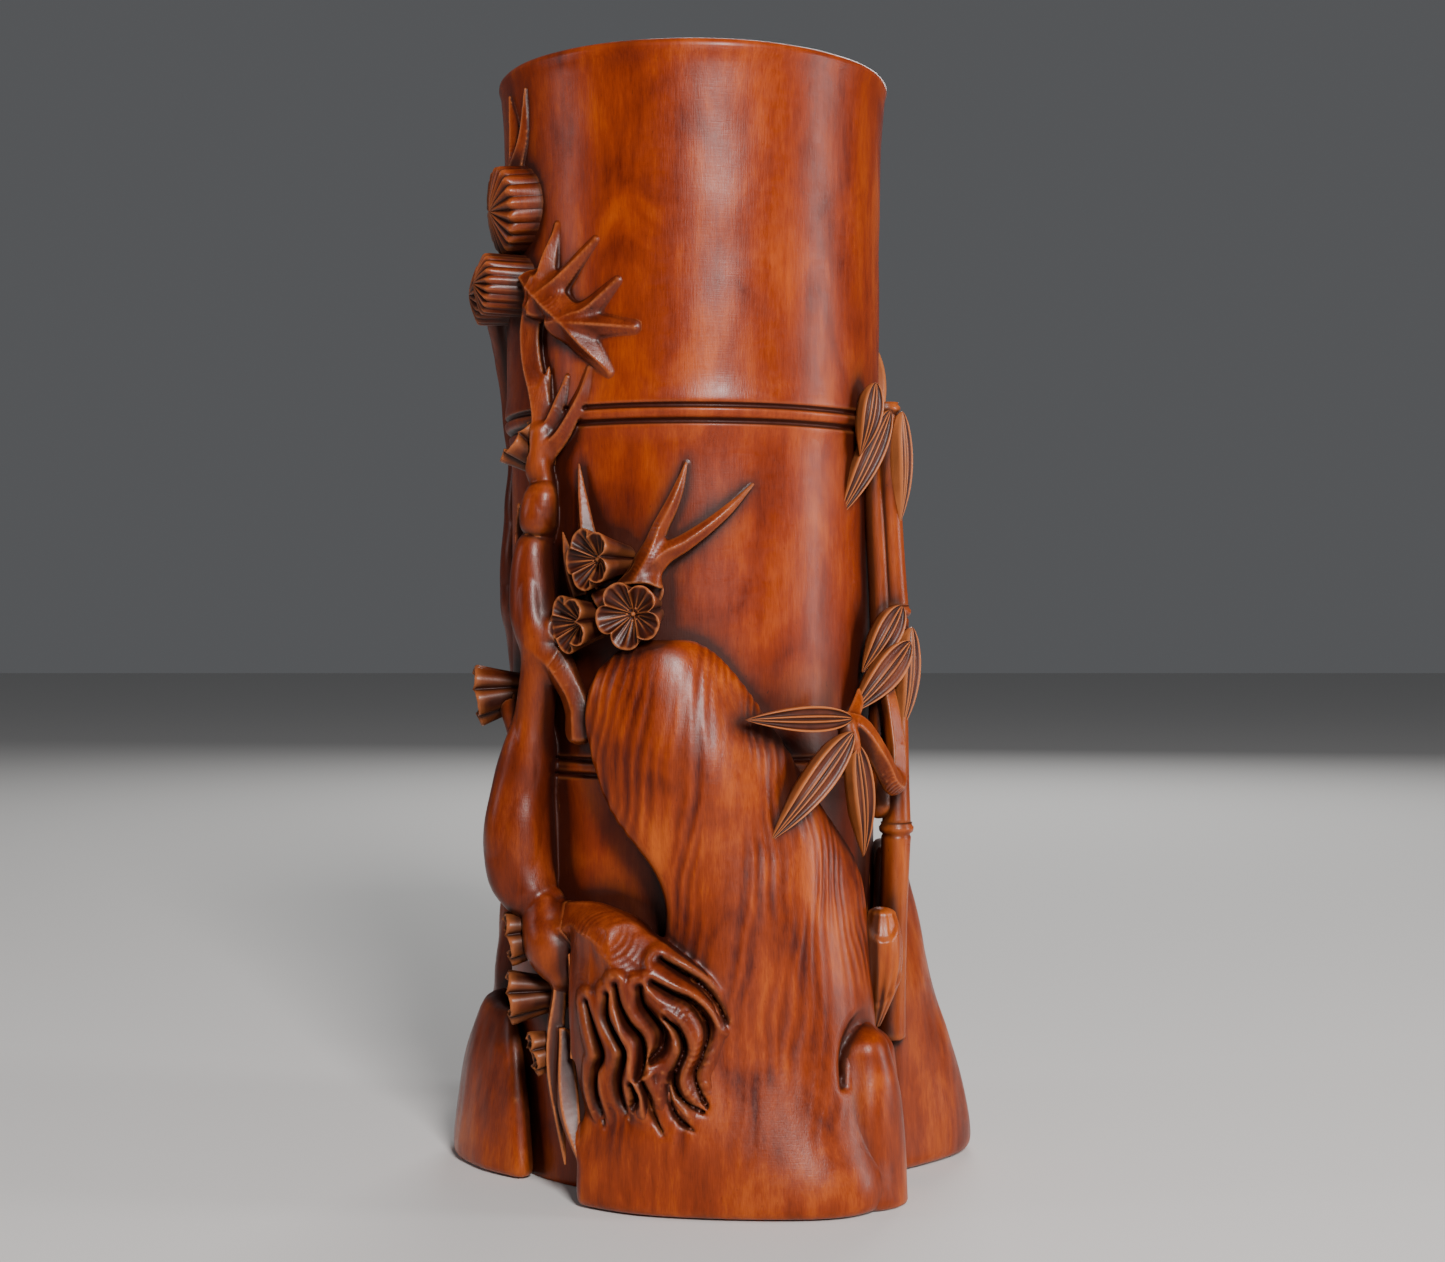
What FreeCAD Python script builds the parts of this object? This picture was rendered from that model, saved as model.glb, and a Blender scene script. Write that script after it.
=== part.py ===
"""Carved boxwood brush pot in the form of a bamboo culm, as a parametric FreeCAD document.

The pot is a hollow culm with a plain upper internode, standing among rocks. A plum tree climbs its left
side from a fan of roots, with blossoms that stand off the wall as little drums. A thin bamboo stalk with
leaves climbs its right side, and pine needle fans and bare twigs fill the upper left and the back.

Frame: +Z up, origin on the culm's axis in the plane that the pot rests on, and the front face towards -Y.
A place on the pot is given by its azimuth in degrees, 0 at the front and positive to the right, by its
height, and by how far it stands off the culm's nominal wall. The tables are those of a pot of DESIGN_HEIGHT
and DESIGN_RADIUS: their heights follow pot_height, and their stand-offs and radii follow culm_radius.
"""

import FreeCAD
import Part
import math
import os

import Sketcher

Vector = FreeCAD.Vector
UP = Vector(0, 0, 1)
DESIGN_HEIGHT = 260.0
DESIGN_RADIUS = 45.0

# ---------------------------------------------------------------------------------------------- sizes

SIZES = [
    ("pot_height", 260.0, "height of the culm, foot to rim"),
    ("culm_radius", 45.0, "outside radius of the culm at its node rings"),
    ("rim_flare", 2.3, "how far the rim flares beyond the culm"),
    ("flare_height", 24.0, "height of the flare under the rim"),
    ("lip_radius", 2.0, "rounding of the rim"),
    ("wall", 7.0, "thickness of the culm's wall"),
    ("upper_ring_height", 176.0, "middle of the upper node ring"),
    ("lower_ring_height", 96.0, "middle of the lower node ring"),
    ("ring_bead", 2.6, "height of the bead between a ring's two grooves"),
    ("groove_width", 1.3, "width of each groove of a node ring"),
    ("groove_depth", 0.9, "depth of each groove of a node ring"),
    ("plate_thickness", 9.0, "thickness of the plate let into the foot"),
    ("plate_ledge", 3.5, "how far the plate's rebate is wider than the bore"),
    ("plate_clearance", 0.1, "gap round the plate, for the glue"),
    ("plate_chamfer", 0.8, "chamfer round the plate's inner edge"),
    ("embed", 3.0, "how far a motif is drawn into the wall before it is seated on it"),
    ("blossom_radius", "=6.6 * culm_radius / 45", "radius over the petals of a full blossom"),
    ("blossom_bowl", "=2.4 * culm_radius / 45", "depth of a blossom's bowl"),
    ("stamen_radius", "=1.1 * culm_radius / 45", "radius of a blossom's stamen boss"),
    ("stamen_height", "=1.2 * culm_radius / 45", "height of the stamen boss in the bowl"),
    ("fan_dome", "=2.6 * culm_radius / 45", "crown of a pine needle fan"),
    ("flute_width", 1.3, "width of a flute in a needle fan"),
    ("leaf_thickness", "=2 * culm_radius / 45", "thickness of a bamboo leaf"),
    ("leaf_widest", 0.38, "where a leaf is widest, as a share of its length"),
    ("stalk_radius", "=3.3 * culm_radius / 45", "radius of the thin bamboo stalk"),
    ("stalk_bead", 0.6, "how far a stalk's node stands out"),
    ("stalk_node", 1.5, "height of a stalk's node"),
    ("stalk_gap", 0.05, "joint between two lengths of the stalk"),
    ("shoot_radius", "=5 * culm_radius / 45", "radius of the bamboo shoot"),
    ("shoot_length", 25.0, "length of the bamboo shoot"),
]

document = FreeCAD.newDocument("brush_pot")
sheet = document.addObject("Spreadsheet::Sheet", "sizes")
for row, (alias, number, note) in enumerate(SIZES, start=1):
    sheet.set(f"A{row}", note)
    sheet.set(f"B{row}", str(number))
    sheet.setAlias(f"B{row}", alias)
document.recompute()


def size(alias):
    """The value in the sheet's cell of that name, in millimetres."""
    return float(sheet.get(alias))


CULM = size("culm_radius")
TALL = size("pot_height") / DESIGN_HEIGHT
RELIEF = CULM / DESIGN_RADIUS


def place(azimuth, height, stand_off=0.0):
    """A point on the pot, from its azimuth, its height at the design size, and its distance off the wall."""
    turn = math.radians(azimuth)
    reach = CULM + stand_off
    return Vector(reach * math.sin(turn), -reach * math.cos(turn), height * TALL)


def outward(azimuth):
    """The direction straight out of the wall at an azimuth."""
    turn = math.radians(azimuth)
    return Vector(math.sin(turn), -math.cos(turn), 0)


# -------------------------------------------------------------------------------------- small helpers


def origin_plane(body, role):
    """One of a body's own origin planes, found by its role."""
    return next(plane for plane in body.Origin.OriginFeatures if plane.Role == role)


def new_body(label):
    """An empty PartDesign body with that label."""
    body = document.addObject("PartDesign::Body", "body_" + label)
    body.Label = label
    return body


def sketch_on(body, role, name):
    """A sketch attached to one of the body's origin planes."""
    sketch = body.newObject("Sketcher::SketchObject", name)
    sketch.AttachmentSupport = (origin_plane(body, role), [""])
    sketch.MapMode = "FlatFace"
    return sketch


def pin_point(sketch, edge, end, across, along, drawn_at=(1.0, 1.0)):
    """Ties one end of an edge to coordinates that are given as expressions."""
    for kind, expression, drawn in (("DistanceX", across, drawn_at[0]), ("DistanceY", along, drawn_at[1])):
        number = sketch.addConstraint(Sketcher.Constraint(kind, -1, 1, edge, end, drawn))
        sketch.setExpression(f"Constraints[{number}]", expression)


def outline(sketch, corners):
    """A closed outline of straight lines through corners, each a pair of expressions."""
    first = [Vector(10 * math.cos(k), 10 * math.sin(k), 0) for k in range(len(corners))]
    for k in range(len(corners)):
        sketch.addGeometry(Part.LineSegment(first[k], first[(k + 1) % len(corners)]), False)
    for k in range(len(corners)):
        sketch.addConstraint(Sketcher.Constraint("Coincident", k, 2, (k + 1) % len(corners), 1))
    for k, (across, along) in enumerate(corners):
        pin_point(sketch, k, 1, across, along)


def circle(sketch, radius, across="0", along="0"):
    """A circle whose radius and centre are expressions."""
    edge = sketch.addGeometry(Part.Circle(Vector(1, 1, 0), UP, 1.0), False)
    number = sketch.addConstraint(Sketcher.Constraint("Radius", edge, 1.0))
    sketch.setExpression(f"Constraints[{number}]", radius)
    if (across, along) == ("0", "0"):
        sketch.addConstraint(Sketcher.Constraint("Coincident", edge, 3, -1, 1))
    else:
        pin_point(sketch, edge, 3, across, along)
    return edge


def revolve(body, sketch, name, kind="PartDesign::Revolution"):
    """A full turn of a sketch on the XZ plane about the body's Z axis."""
    feature = body.newObject(kind, name)
    feature.Profile = sketch
    feature.ReferenceAxis = (sketch, ["V_Axis"])
    feature.Angle = 360.0
    return feature


def pad(body, sketch, name, length, kind="PartDesign::Pad"):
    """A pad or pocket of a sketch, its length an expression."""
    feature = body.newObject(kind, name)
    feature.Profile = sketch
    feature.setExpression("Length", length)
    return feature


def bevel_top(body, feature, name, breadth):
    """A chamfer round the top face of a pad."""
    document.recompute()
    faces = feature.Shape.Faces
    top = max(range(len(faces)), key=lambda k: faces[k].CenterOfMass.z)
    bevel = body.newObject("PartDesign::Chamfer", name)
    bevel.Base = (feature, [f"Face{top + 1}"])
    bevel.setExpression("Size", breadth)


def solid_feature(label, shape):
    """A Part::Feature that holds a finished shape."""
    feature = document.addObject("Part::Feature", "form_" + label)
    feature.Label = "form_" + label
    feature.Shape = shape
    return feature


def seat(label, raw, *neighbours):
    """Cuts a raw motif back to the neighbours that it stands against, and gives the result its label."""
    result = raw
    for step, neighbour in enumerate(neighbours):
        cut = document.addObject("Part::Cut", f"seat_{label}_{step}")
        cut.Base = result
        cut.Tool = neighbour
        cut.Refine = False
        result = cut
    result.Label = label
    return result


parts = []


def keep(feature):
    """Lists a finished sub-part for export."""
    parts.append(feature)
    return feature


# ------------------------------------------------------------------------------------- culm and plate


BELLY_RISE = 0.45  # where the flare's belly is, as a share of the flare's height below the rim
BELLY_REACH = 0.3  # how far the belly has flared, as a share of the rim's flare
LIP_DROP = 0.3  # the lip's bevel, as shares of its radius
LIP_INSET = 0.4


def culm_profile(sketch):
    """Half the culm's outside, from the axis: foot, straight wall, flare and rim."""
    top = "sizes.pot_height"
    rim = "sizes.culm_radius + sizes.rim_flare"
    belly = f"{top} - sizes.flare_height * {BELLY_RISE}"
    outline(
        sketch,
        [
            ("0", "0"),
            ("sizes.culm_radius", "0"),
            ("sizes.culm_radius", f"{top} - sizes.flare_height"),
            (f"sizes.culm_radius + sizes.rim_flare * {BELLY_REACH}", belly),
            (rim, f"{top} - sizes.lip_radius"),
            (f"{rim} - sizes.lip_radius * {LIP_INSET}", f"{top} - sizes.lip_radius * {LIP_DROP}"),
            (f"{rim} - sizes.lip_radius", top),
            ("0", top),
        ],
    )


def culm_form(label):
    """The culm's outside as a full solid, which seats the motifs that stand on it."""
    body = new_body(label)
    sketch = sketch_on(body, "XZ_Plane", "profile_" + label)
    culm_profile(sketch)
    revolve(body, sketch, "turning_" + label)
    return body


def ring_groove(body, name, height):
    """One groove of a node ring: a rounded V turned into the wall."""
    sketch = sketch_on(body, "XZ_Plane", name + "_sketch")
    half = "sizes.groove_width / 2"
    outline(
        sketch,
        [
            ("sizes.culm_radius + 1", f"{height} - {half}"),
            ("sizes.culm_radius + 1", f"{height} + {half}"),
            ("sizes.culm_radius", f"{height} + {half}"),
            ("sizes.culm_radius - sizes.groove_depth", height),
            ("sizes.culm_radius", f"{height} - {half}"),
        ],
    )
    revolve(body, sketch, name, "PartDesign::Groove")


def culm_wall():
    """The culm: turned outside, bore, rebate for the plate and two double node rings."""
    body = culm_form("culm_wall")
    bore = "sizes.culm_radius - sizes.wall"
    hollow = sketch_on(body, "XZ_Plane", "bore_sketch")
    outline(
        hollow,
        [
            ("0", "-1"),
            (f"{bore} + sizes.plate_ledge", "-1"),
            (f"{bore} + sizes.plate_ledge", "sizes.plate_thickness"),
            (bore, "sizes.plate_thickness"),
            (bore, "sizes.pot_height + 1"),
            ("0", "sizes.pot_height + 1"),
        ],
    )
    revolve(body, hollow, "bore", "PartDesign::Groove")
    for ring in ("upper", "lower"):
        middle = f"sizes.{ring}_ring_height"
        for side, sign in (("over", "+"), ("under", "-")):
            ring_groove(body, f"{ring}_groove_{side}", f"{middle} {sign} sizes.ring_bead / 2")
    return body


def foot_plate():
    """The round plate that closes the bore, let into the foot flush with it."""
    body = new_body("foot_plate")
    sketch = sketch_on(body, "XY_Plane", "plate_outline")
    circle(sketch, "sizes.culm_radius - sizes.wall + sizes.plate_ledge - sizes.plate_clearance")
    disc = pad(body, sketch, "plate", "sizes.plate_thickness")
    bevel_top(body, disc, "plate_edge", "sizes.plate_chamfer")
    return body


keep(culm_wall())
core = culm_form("culm_core")
keep(foot_plate())


# ---------------------------------------------------------------------------------------------- rocks

# Each section is a height, then points across the rock's face from left to right: azimuth and stand-off.
ROCKS = {
    "front_rock": [
        (0, [(-27, 13), (-11, 18), (10, 22), (29, 27.5), (46, 16)]),
        (14, [(-26, 13), (-10, 17.5), (11, 20.5), (29, 24), (46, 15)]),
        (30, [(-21, 11.5), (-5, 16), (13, 18), (31, 19.5), (48, 12)]),
        (45, [(-12, 11), (2, 14.5), (17, 16.5), (34, 16.5), (49, 10.5)]),
        (60, [(-6, 10.5), (8, 14.5), (21, 15.5), (35, 14), (49, 9)]),
        (75, [(-9, 10), (4, 13), (17, 14), (31, 12.5), (46, 8)]),
        (85, [(-18, 9), (-5, 12), (8, 13), (22, 12), (38, 7)]),
        (97, [(-25, 8), (-13, 11.5), (0, 12.5), (13, 11.5), (29, 6.5)]),
        (110, [(-27, 8), (-17, 11), (-6, 11.5), (6, 10), (19, 5)]),
        (120, [(-22, 7), (-15, 9.5), (-7, 10), (2, 8), (10, 4)]),
        (125, [(-14, 5.5), (-11, 7), (-7, 7.5), (-3, 6.5), (1, 4.5)]),
    ],
    "ledge_rock": [
        (0, [(33, 24), (38, 26), (44, 22), (50, 17), (57, 9)]),
        (14, [(33, 22), (38, 24.5), (44, 20.5), (50, 15.5), (56, 8.5)]),
        (27, [(34, 19.5), (38.5, 21.5), (44, 18.5), (49, 14.5), (55, 8)]),
        (36, [(37, 14), (40, 15.5), (44, 14.5), (48, 11.5), (52, 7)]),
    ],
    "left_rock": [
        (0, [(-118, 11), (-103, 14), (-88, 14), (-73, 11), (-52, 5)]),
        (15, [(-116, 9.5), (-102, 12.5), (-88, 12.5), (-74, 9.5), (-55, 5)]),
        (28, [(-112, 6.5), (-99, 9.5), (-86, 9.5), (-73, 7), (-59, 4)]),
        (38, [(-104, 3.5), (-95, 5.5), (-85, 5.5), (-75, 4.5), (-66, 2.5)]),
    ],
    "right_rock": [
        (0, [(63, 8), (76, 15), (90, 22.5), (105, 22), (120, 13)]),
        (20, [(64, 8), (77, 14), (90, 20), (104, 19), (118, 11)]),
        (40, [(66, 7), (77, 11), (89, 14), (102, 13), (115, 8)]),
        (60, [(70, 5), (79, 8), (89, 9.5), (99, 8.5), (109, 5)]),
        (76, [(76, 3), (82, 4.5), (89, 5), (95, 4.5), (102, 2.5)]),
    ],
    "rear_rock": [
        (0, [(124, 13), (149, 17), (174, 19), (199, 17), (236, 12)]),
        (18, [(126, 11), (149, 15), (174, 17), (199, 15), (234, 10)]),
        (36, [(132, 8), (151, 12), (172, 14), (194, 12), (222, 7)]),
        (54, [(140, 5), (154, 9), (169, 10.5), (186, 9), (204, 5)]),
        (68, [(150, 3), (158, 5.5), (167, 6.5), (177, 5.5), (187, 3)]),
    ],
}
ROCK_HEART = 5.0


def rock_section(height, across):
    """A closed wire: the rock's face as one curve, and straight sides to a chord inside the wall."""
    face = [place(azimuth, height, stand_off * RELIEF) for azimuth, stand_off in across]
    curve = Part.BSplineCurve()
    curve.interpolate(face)
    left = place(across[0][0], height, -ROCK_HEART)
    right = place(across[-1][0], height, -ROCK_HEART)
    back = [place(azimuth, height, -ROCK_HEART) for azimuth, _ in across]
    inner = Part.BSplineCurve()
    inner.interpolate(back[::-1])
    edges = [
        curve.toShape(),
        Part.LineSegment(face[-1], right).toShape(),
        inner.toShape(),
        Part.LineSegment(left, face[0]).toShape(),
    ]
    return Part.Wire(edges)


def rock(label, *neighbours):
    """A rock lofted through its sections and seated on the culm."""
    wires = [rock_section(height, across) for height, across in ROCKS[label]]
    raw = solid_feature(label, Part.makeLoft(wires, True, False))
    return seat(label, raw, core, *neighbours)


front_rock = keep(rock("front_rock"))
left_rock = keep(rock("left_rock"))
ledge_rock = keep(rock("ledge_rock", front_rock))
right_rock = keep(rock("right_rock", ledge_rock))
rear_rock = keep(rock("rear_rock"))


# ------------------------------------------------------------------------------- placing on the wall


def wall_placement(azimuth, height, stand_off, heading=0.0, pitch=0.0, turn=0.0):
    """A frame on the wall: Z out of it, X along the heading (0 up, 90 to the right), then tipped.

    pitch lifts the far end of X off the wall, and turn swings Z sideways, positive to the right.
    """
    out = outward(azimuth)
    right = UP.cross(out)
    swing = math.radians(turn)
    normal = out * math.cos(swing) + right * math.sin(swing)
    side = UP.cross(normal)
    bearing = math.radians(heading)
    along = UP * math.cos(bearing) + side * math.sin(bearing)
    tip = math.radians(pitch)
    x_axis = along * math.cos(tip) + normal * math.sin(tip)
    z_axis = normal * math.cos(tip) - along * math.sin(tip)
    y_axis = z_axis.cross(x_axis)
    rotation = FreeCAD.Rotation(x_axis, y_axis, z_axis, "ZXY")
    return FreeCAD.Placement(place(azimuth, height, stand_off), rotation)


# ------------------------------------------------------------------------------------------- blossoms

# Name: azimuth, height, lift of the face off the wall, turn, nod, and scale of the head.
BLOSSOMS = {
    "blossom_front_upper": (-21.5, 143, 9.5, -24, 0, 1.0),
    "blossom_front_left": (-26.5, 129.5, 9.8, -26, 6, 0.94),
    "blossom_front_right": (-13.2, 131.5, 10.8, -6, 6, 1.07),
    "blossom_ring": (-50, 166.5, 7.6, -34, -40, 0.91),
    "blossom_side": (-66, 113, 9.5, -22, 6, 1.04),
    "blossom_root_upper": (-41, 58.5, 12.5, -42, 8, 0.9),
    "blossom_root_middle": (-42, 44, 11.5, -44, 4, 0.9),
    "blossom_root_lower": (-32, 34, 12.5, -46, 12, 0.73),
    "blossom_rear_left": (187, 138, 8.5, 6, -6, 1.0),
    "blossom_rear_right": (160, 112, 8.0, -12, 4, 0.95),
}
PETALS = 5
HEART = 0.72  # radii of the blossom's parts, as shares of its own radius
PETAL = 0.42
PETAL_REACH = 0.58
BOWL = 0.8
ON_AXIS = "0.001"  # as good as zero, which a distance constraint can't hold


def blossom(label, *neighbours):
    """A plum blossom: five petal lobes on a drum, a bowl in its face and a stamen boss."""
    azimuth, height, lift, turn, nod, scale = BLOSSOMS[label]
    body = new_body("form_" + label)
    radius = f"sizes.blossom_radius * {scale}"
    top = f"{lift * RELIEF} + sizes.embed"
    drum = sketch_on(body, "XY_Plane", "drum_" + label)
    circle(drum, f"{radius} * {HEART}")
    pad(body, drum, "heart_" + label, top)
    lobe = sketch_on(body, "XY_Plane", "petal_" + label)
    circle(lobe, f"{radius} * {PETAL}", f"{radius} * {PETAL_REACH}", ON_AXIS)
    lobe_pad = pad(body, lobe, "lobe_" + label, top)
    pattern = body.newObject("PartDesign::PolarPattern", "petals_" + label)
    pattern.Originals = [lobe_pad]
    pattern.Axis = (drum, ["N_Axis"])
    pattern.Angle = 360.0
    pattern.Occurrences = PETALS
    body.Tip = pattern
    bowl = sketch_on(body, "XZ_Plane", "bowl_" + label)
    outline(
        bowl,
        [
            ("0", f"{top} + 1"),
            ("0", f"{top} - sizes.blossom_bowl + sizes.stamen_height"),
            ("sizes.stamen_radius", f"{top} - sizes.blossom_bowl + sizes.stamen_height"),
            ("sizes.stamen_radius", f"{top} - sizes.blossom_bowl"),
            (f"{radius} * {BOWL}", top),
            (f"{radius} * {BOWL}", f"{top} + 1"),
        ],
    )
    revolve(body, bowl, "hollow_" + label, "PartDesign::Groove")
    body.Placement = wall_placement(azimuth, height, -size("embed"), turn=turn, pitch=nod)
    return seat(label, body, core, *neighbours)


def close_by(label, other):
    """True when two blossoms stand near enough for their petals to meet."""
    here, there = (place(azimuth, height) for azimuth, height, *_ in (BLOSSOMS[label], BLOSSOMS[other]))
    return here.distanceToPoint(there) < 3 * size("blossom_radius")


blossoms = {}
for label in BLOSSOMS:
    earlier = [made for other, made in blossoms.items() if close_by(label, other)]
    blossoms[label] = keep(blossom(label, front_rock, left_rock, *earlier))


# ----------------------------------------------------------------------------------------------- limbs

# Each limb is a run of points: azimuth, height, stand-off of its middle, and radius.
LIMBS = {
    "plum_trunk": [
        [(-45, 55, 6, 8), (-48, 71, 5.5, 8.2), (-49.5, 86, 5.5, 7.6), (-48.5, 99, 5, 6.2),
         (-46, 111, 4.5, 5),
         (-44, 122, 4.5, 4.8), (-45, 134, 4.5, 4.8), (-46.5, 146, 4, 4.4), (-45.5, 158, 3.5, 3.8),
         (-45, 170, 3, 3.4)],
        [(-47.5, 138, 5, 3.2), (-51, 146, 5, 2.2), (-54, 155, 4, 0.7)],
        [(-50, 103, 4.5, 3.4), (-56, 107, 3.5, 2.8), (-64, 112, 2.5, 2.4)],
    ],
    "plum_bough": [
        [(-46, 127, 3, 4.2), (-38, 128, 2.5, 4), (-29, 131, 2, 4), (-20, 134, 2, 4), (-12, 136, 2, 3.8)],
        [(-32, 132, 2.5, 2.4), (-35, 140, 2.5, 1.8), (-38.5, 149, 2, 0.7)],
    ],
    "antler_twig": [
        [(-15, 133, 2.4, 4), (-12.5, 139.5, 2.2, 3.5), (-9, 147, 1.8, 2.4), (-5, 155, 1.5, 1.7),
         (-1.2, 164, 0.8, 0.7)],
        [(-10.5, 141.5, 2, 2.8), (-4.5, 145.6, 1.8, 2.2), (4.5, 150.2, 1.6, 1.8),
         (11, 154.6, 1.2, 1.3), (18, 159.8, 0.8, 0.7)],
    ],
    "plum_spike": [
        [(-25, 138, 2, 3), (-28.5, 144, 1.8, 2.6), (-31, 150, 1.5, 2), (-32.5, 157, 1.2, 1.5),
         (-34, 164, 0.8, 0.7)],
    ],
    "plum_stub": [
        [(-45, 123, 4, 4.6), (-38, 118, 4, 4.3), (-33, 112, 3.5, 4), (-31, 105, 3, 3.6)],
    ],
    "upper_bough": [
        [(-46.5, 171, 3, 3.4), (-47, 180, 3, 3), (-50, 189, 3, 2.7), (-51, 197, 3, 3), (-47, 205, 3, 3.4)],
        [(-47, 174, 3, 2.4), (-45, 180, 2.5, 1.8), (-43, 186, 1.5, 0.7)],
        [(-45, 172, 2.5, 2.2), (-40, 176, 2, 1.8), (-36.5, 183, 1.2, 0.7)],
        [(-44, 170, 2.5, 2.4), (-37, 173, 2, 2), (-31, 180, 1.5, 1.4), (-28.5, 186, 0.8, 0.6)],
    ],
    "thorn_spray": [
        [(-46, 205.5, 3, 3.6), (-40, 202, 2.8, 3.2), (-33, 197.5, 2.2, 2.6), (-27, 192.5, 1.6, 2),
         (-21.5, 187, 0.9, 0.7)],
        [(-43.5, 205, 3.2, 2.6), (-42.5, 211, 2.2, 1.8), (-41, 218.5, 1, 0.6)],
        [(-43.5, 206, 3.2, 2.4), (-35.5, 209, 2, 1.7), (-27.5, 214, 0.8, 0.6)],
        [(-34, 198, 2.4, 2.2), (-27, 200, 1.6, 1.6), (-20.5, 204.5, 0.8, 0.6)],
        [(-34, 197.5, 2.4, 2.4), (-25, 196.5, 1.6, 1.8), (-14.5, 195.5, 0.8, 0.6)],
    ],
    "rim_twig": [
        [(-63, 232, 2, 2.6), (-61, 238, 2, 2.2), (-64, 245, 1.6, 1.4), (-66, 252, 1.2, 0.6)],
        [(-61, 237, 2, 2), (-57, 244, 1.6, 1.3), (-55.5, 252, 1.2, 0.6)],
    ],
    "curled_twig": [
        [(40, 106, 10.5, 2.2), (45, 103, 12, 2.4), (51, 97, 12, 2.6), (56, 91.5, 11, 2.8), (61, 92, 9.5, 3),
         (63, 99, 9, 3), (64, 108, 7, 2.6), (66, 116, 5, 2.4)],
    ],
    "pine_limb": [
        [(-113, 9, 4, 10), (-114, 30, 3, 7.4), (-117, 62, 3, 6.2), (-123, 92, 3.2, 5.6),
         (-119, 122, 3, 5), (-112, 148, 2.8, 4.4),
         (-114, 172, 2.6, 3.8), (-106, 190, 2.4, 3.2), (-92, 202, 2.4, 2.6), (-82, 207, 2.4, 2.2)],
        [(-113, 168, 2.6, 3.2), (-121, 182, 2.4, 2.6), (-129, 196, 2.2, 2.2), (-131, 208, 2, 1.6)],
        [(-122, 108, 3, 3.6), (-131, 120, 2.6, 3), (-140, 133, 2.4, 2.4), (-145, 146, 2, 1.8)],
    ],
    "rear_twig": [
        [(158, 60, 2, 3.4), (154, 82, 2.2, 3), (160, 104, 2, 2.6), (171, 122, 1.8, 2.2),
         (176, 140, 1.4, 1.6),
         (174, 156, 0.8, 0.6)],
        [(160, 102, 2, 2.2), (150, 116, 1.6, 1.6), (146, 132, 0.8, 0.6)],
        [(172, 124, 1.8, 1.8), (184, 133, 1.4, 1.3), (192, 146, 0.7, 0.6)],
    ],
}

# The strands of the root fan, in the same terms. The first is the burl that they flow from.
ROOT_STRANDS = [
    [(-15, 63, 5, 5), (-13, 56, 9, 8), (-12.5, 47, 11, 10), (-12, 36, 12, 11), (-10, 26, 13, 11),
     (-9, 19, 14, 7)],
    [(-12, 55, 14, 3.4), (-6, 51, 15.5, 2.8), (0, 47, 16, 2.4), (4.5, 43, 15.5, 2), (7, 39, 14.5, 1.2)],
    [(-12, 51, 18, 3.4), (-7, 45, 20, 3), (-1.5, 42, 20, 2.8), (1.5, 38, 19.5, 2.6), (-0.5, 32, 20, 2.4),
     (0, 27, 20.5, 2.1), (3.5, 22.5, 20, 1.2)],
    [(-14, 52, 18, 3), (-13, 45, 20.5, 2.8), (-9.5, 40, 21.5, 2.5), (-7, 35, 21.5, 2)],
    [(-17, 48, 16.5, 2.6), (-14.5, 40, 19.5, 2.6), (-11.5, 35, 21, 2.4), (-10.5, 29, 21, 2)],
    [(-22, 52, 12, 3.6), (-22, 44, 15, 3.4), (-18.5, 37, 18.5, 3), (-18, 31, 19.5, 3), (-16, 22, 20, 2.6)],
    [(-6, 41, 20.5, 2.6), (-5.5, 33, 21.5, 2.6), (-7, 28, 22, 2.6), (-5.5, 22, 21.5, 2.2),
     (-3, 17, 20, 1.2)],
    [(-3, 28, 21, 2.2), (-1.5, 23, 21, 2), (3, 18.5, 20, 1.2)],
    [(-13, 30, 20, 2), (-11.5, 24, 21, 2), (-9.5, 20, 20.5, 1.4)],
    [(-24.5, 42, 12, 2.4), (-24.5, 31, 14, 2.4), (-23, 23, 15.5, 2.2), (-20.5, 17, 16, 1.4)],
]
LEAF_SPIKES = [
    [(-33, 42, 7, 2), (-34, 26, 9, 2.4), (-31.5, 8, 9, 0.8)],
    [(-31, 34, 8, 2), (-29, 22, 10, 2.6), (-24, 9, 12.5, 0.8)],
    [(-29, 52, 9, 1.2), (-26, 44, 11, 1.6), (-27, 34, 11, 1)],
]


def limb(points):
    """A tapering round limb lofted along its points."""
    middles = [place(azimuth, height, stand_off * RELIEF) for azimuth, height, stand_off, _ in points]
    rings = []
    for k, (_, _, _, radius) in enumerate(points):
        along = middles[min(k + 1, len(points) - 1)] - middles[max(k - 1, 0)]
        rings.append(Part.Wire(Part.makeCircle(radius * RELIEF, middles[k], along)))
    return Part.makeLoft(rings, True, False)


def limbs(label, runs, *neighbours):
    """Several limbs fused into one branching piece, seated on the culm and its other neighbours."""
    shapes = [limb(points) for points in runs]
    shape = shapes[0].fuse(shapes[1:]) if len(shapes) > 1 else shapes[0]
    raw = solid_feature(label, shape)
    return seat(label, raw, core, *neighbours)


root_blossoms = [blossoms[f"blossom_root_{where}"] for where in ("upper", "middle", "lower")]
front_blossoms = [blossoms[f"blossom_front_{where}"] for where in ("upper", "left", "right")]
rear_blossoms = [blossoms[f"blossom_rear_{where}"] for where in ("left", "right")]
ring_blossom = blossoms["blossom_ring"]
side_blossom = blossoms["blossom_side"]

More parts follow.
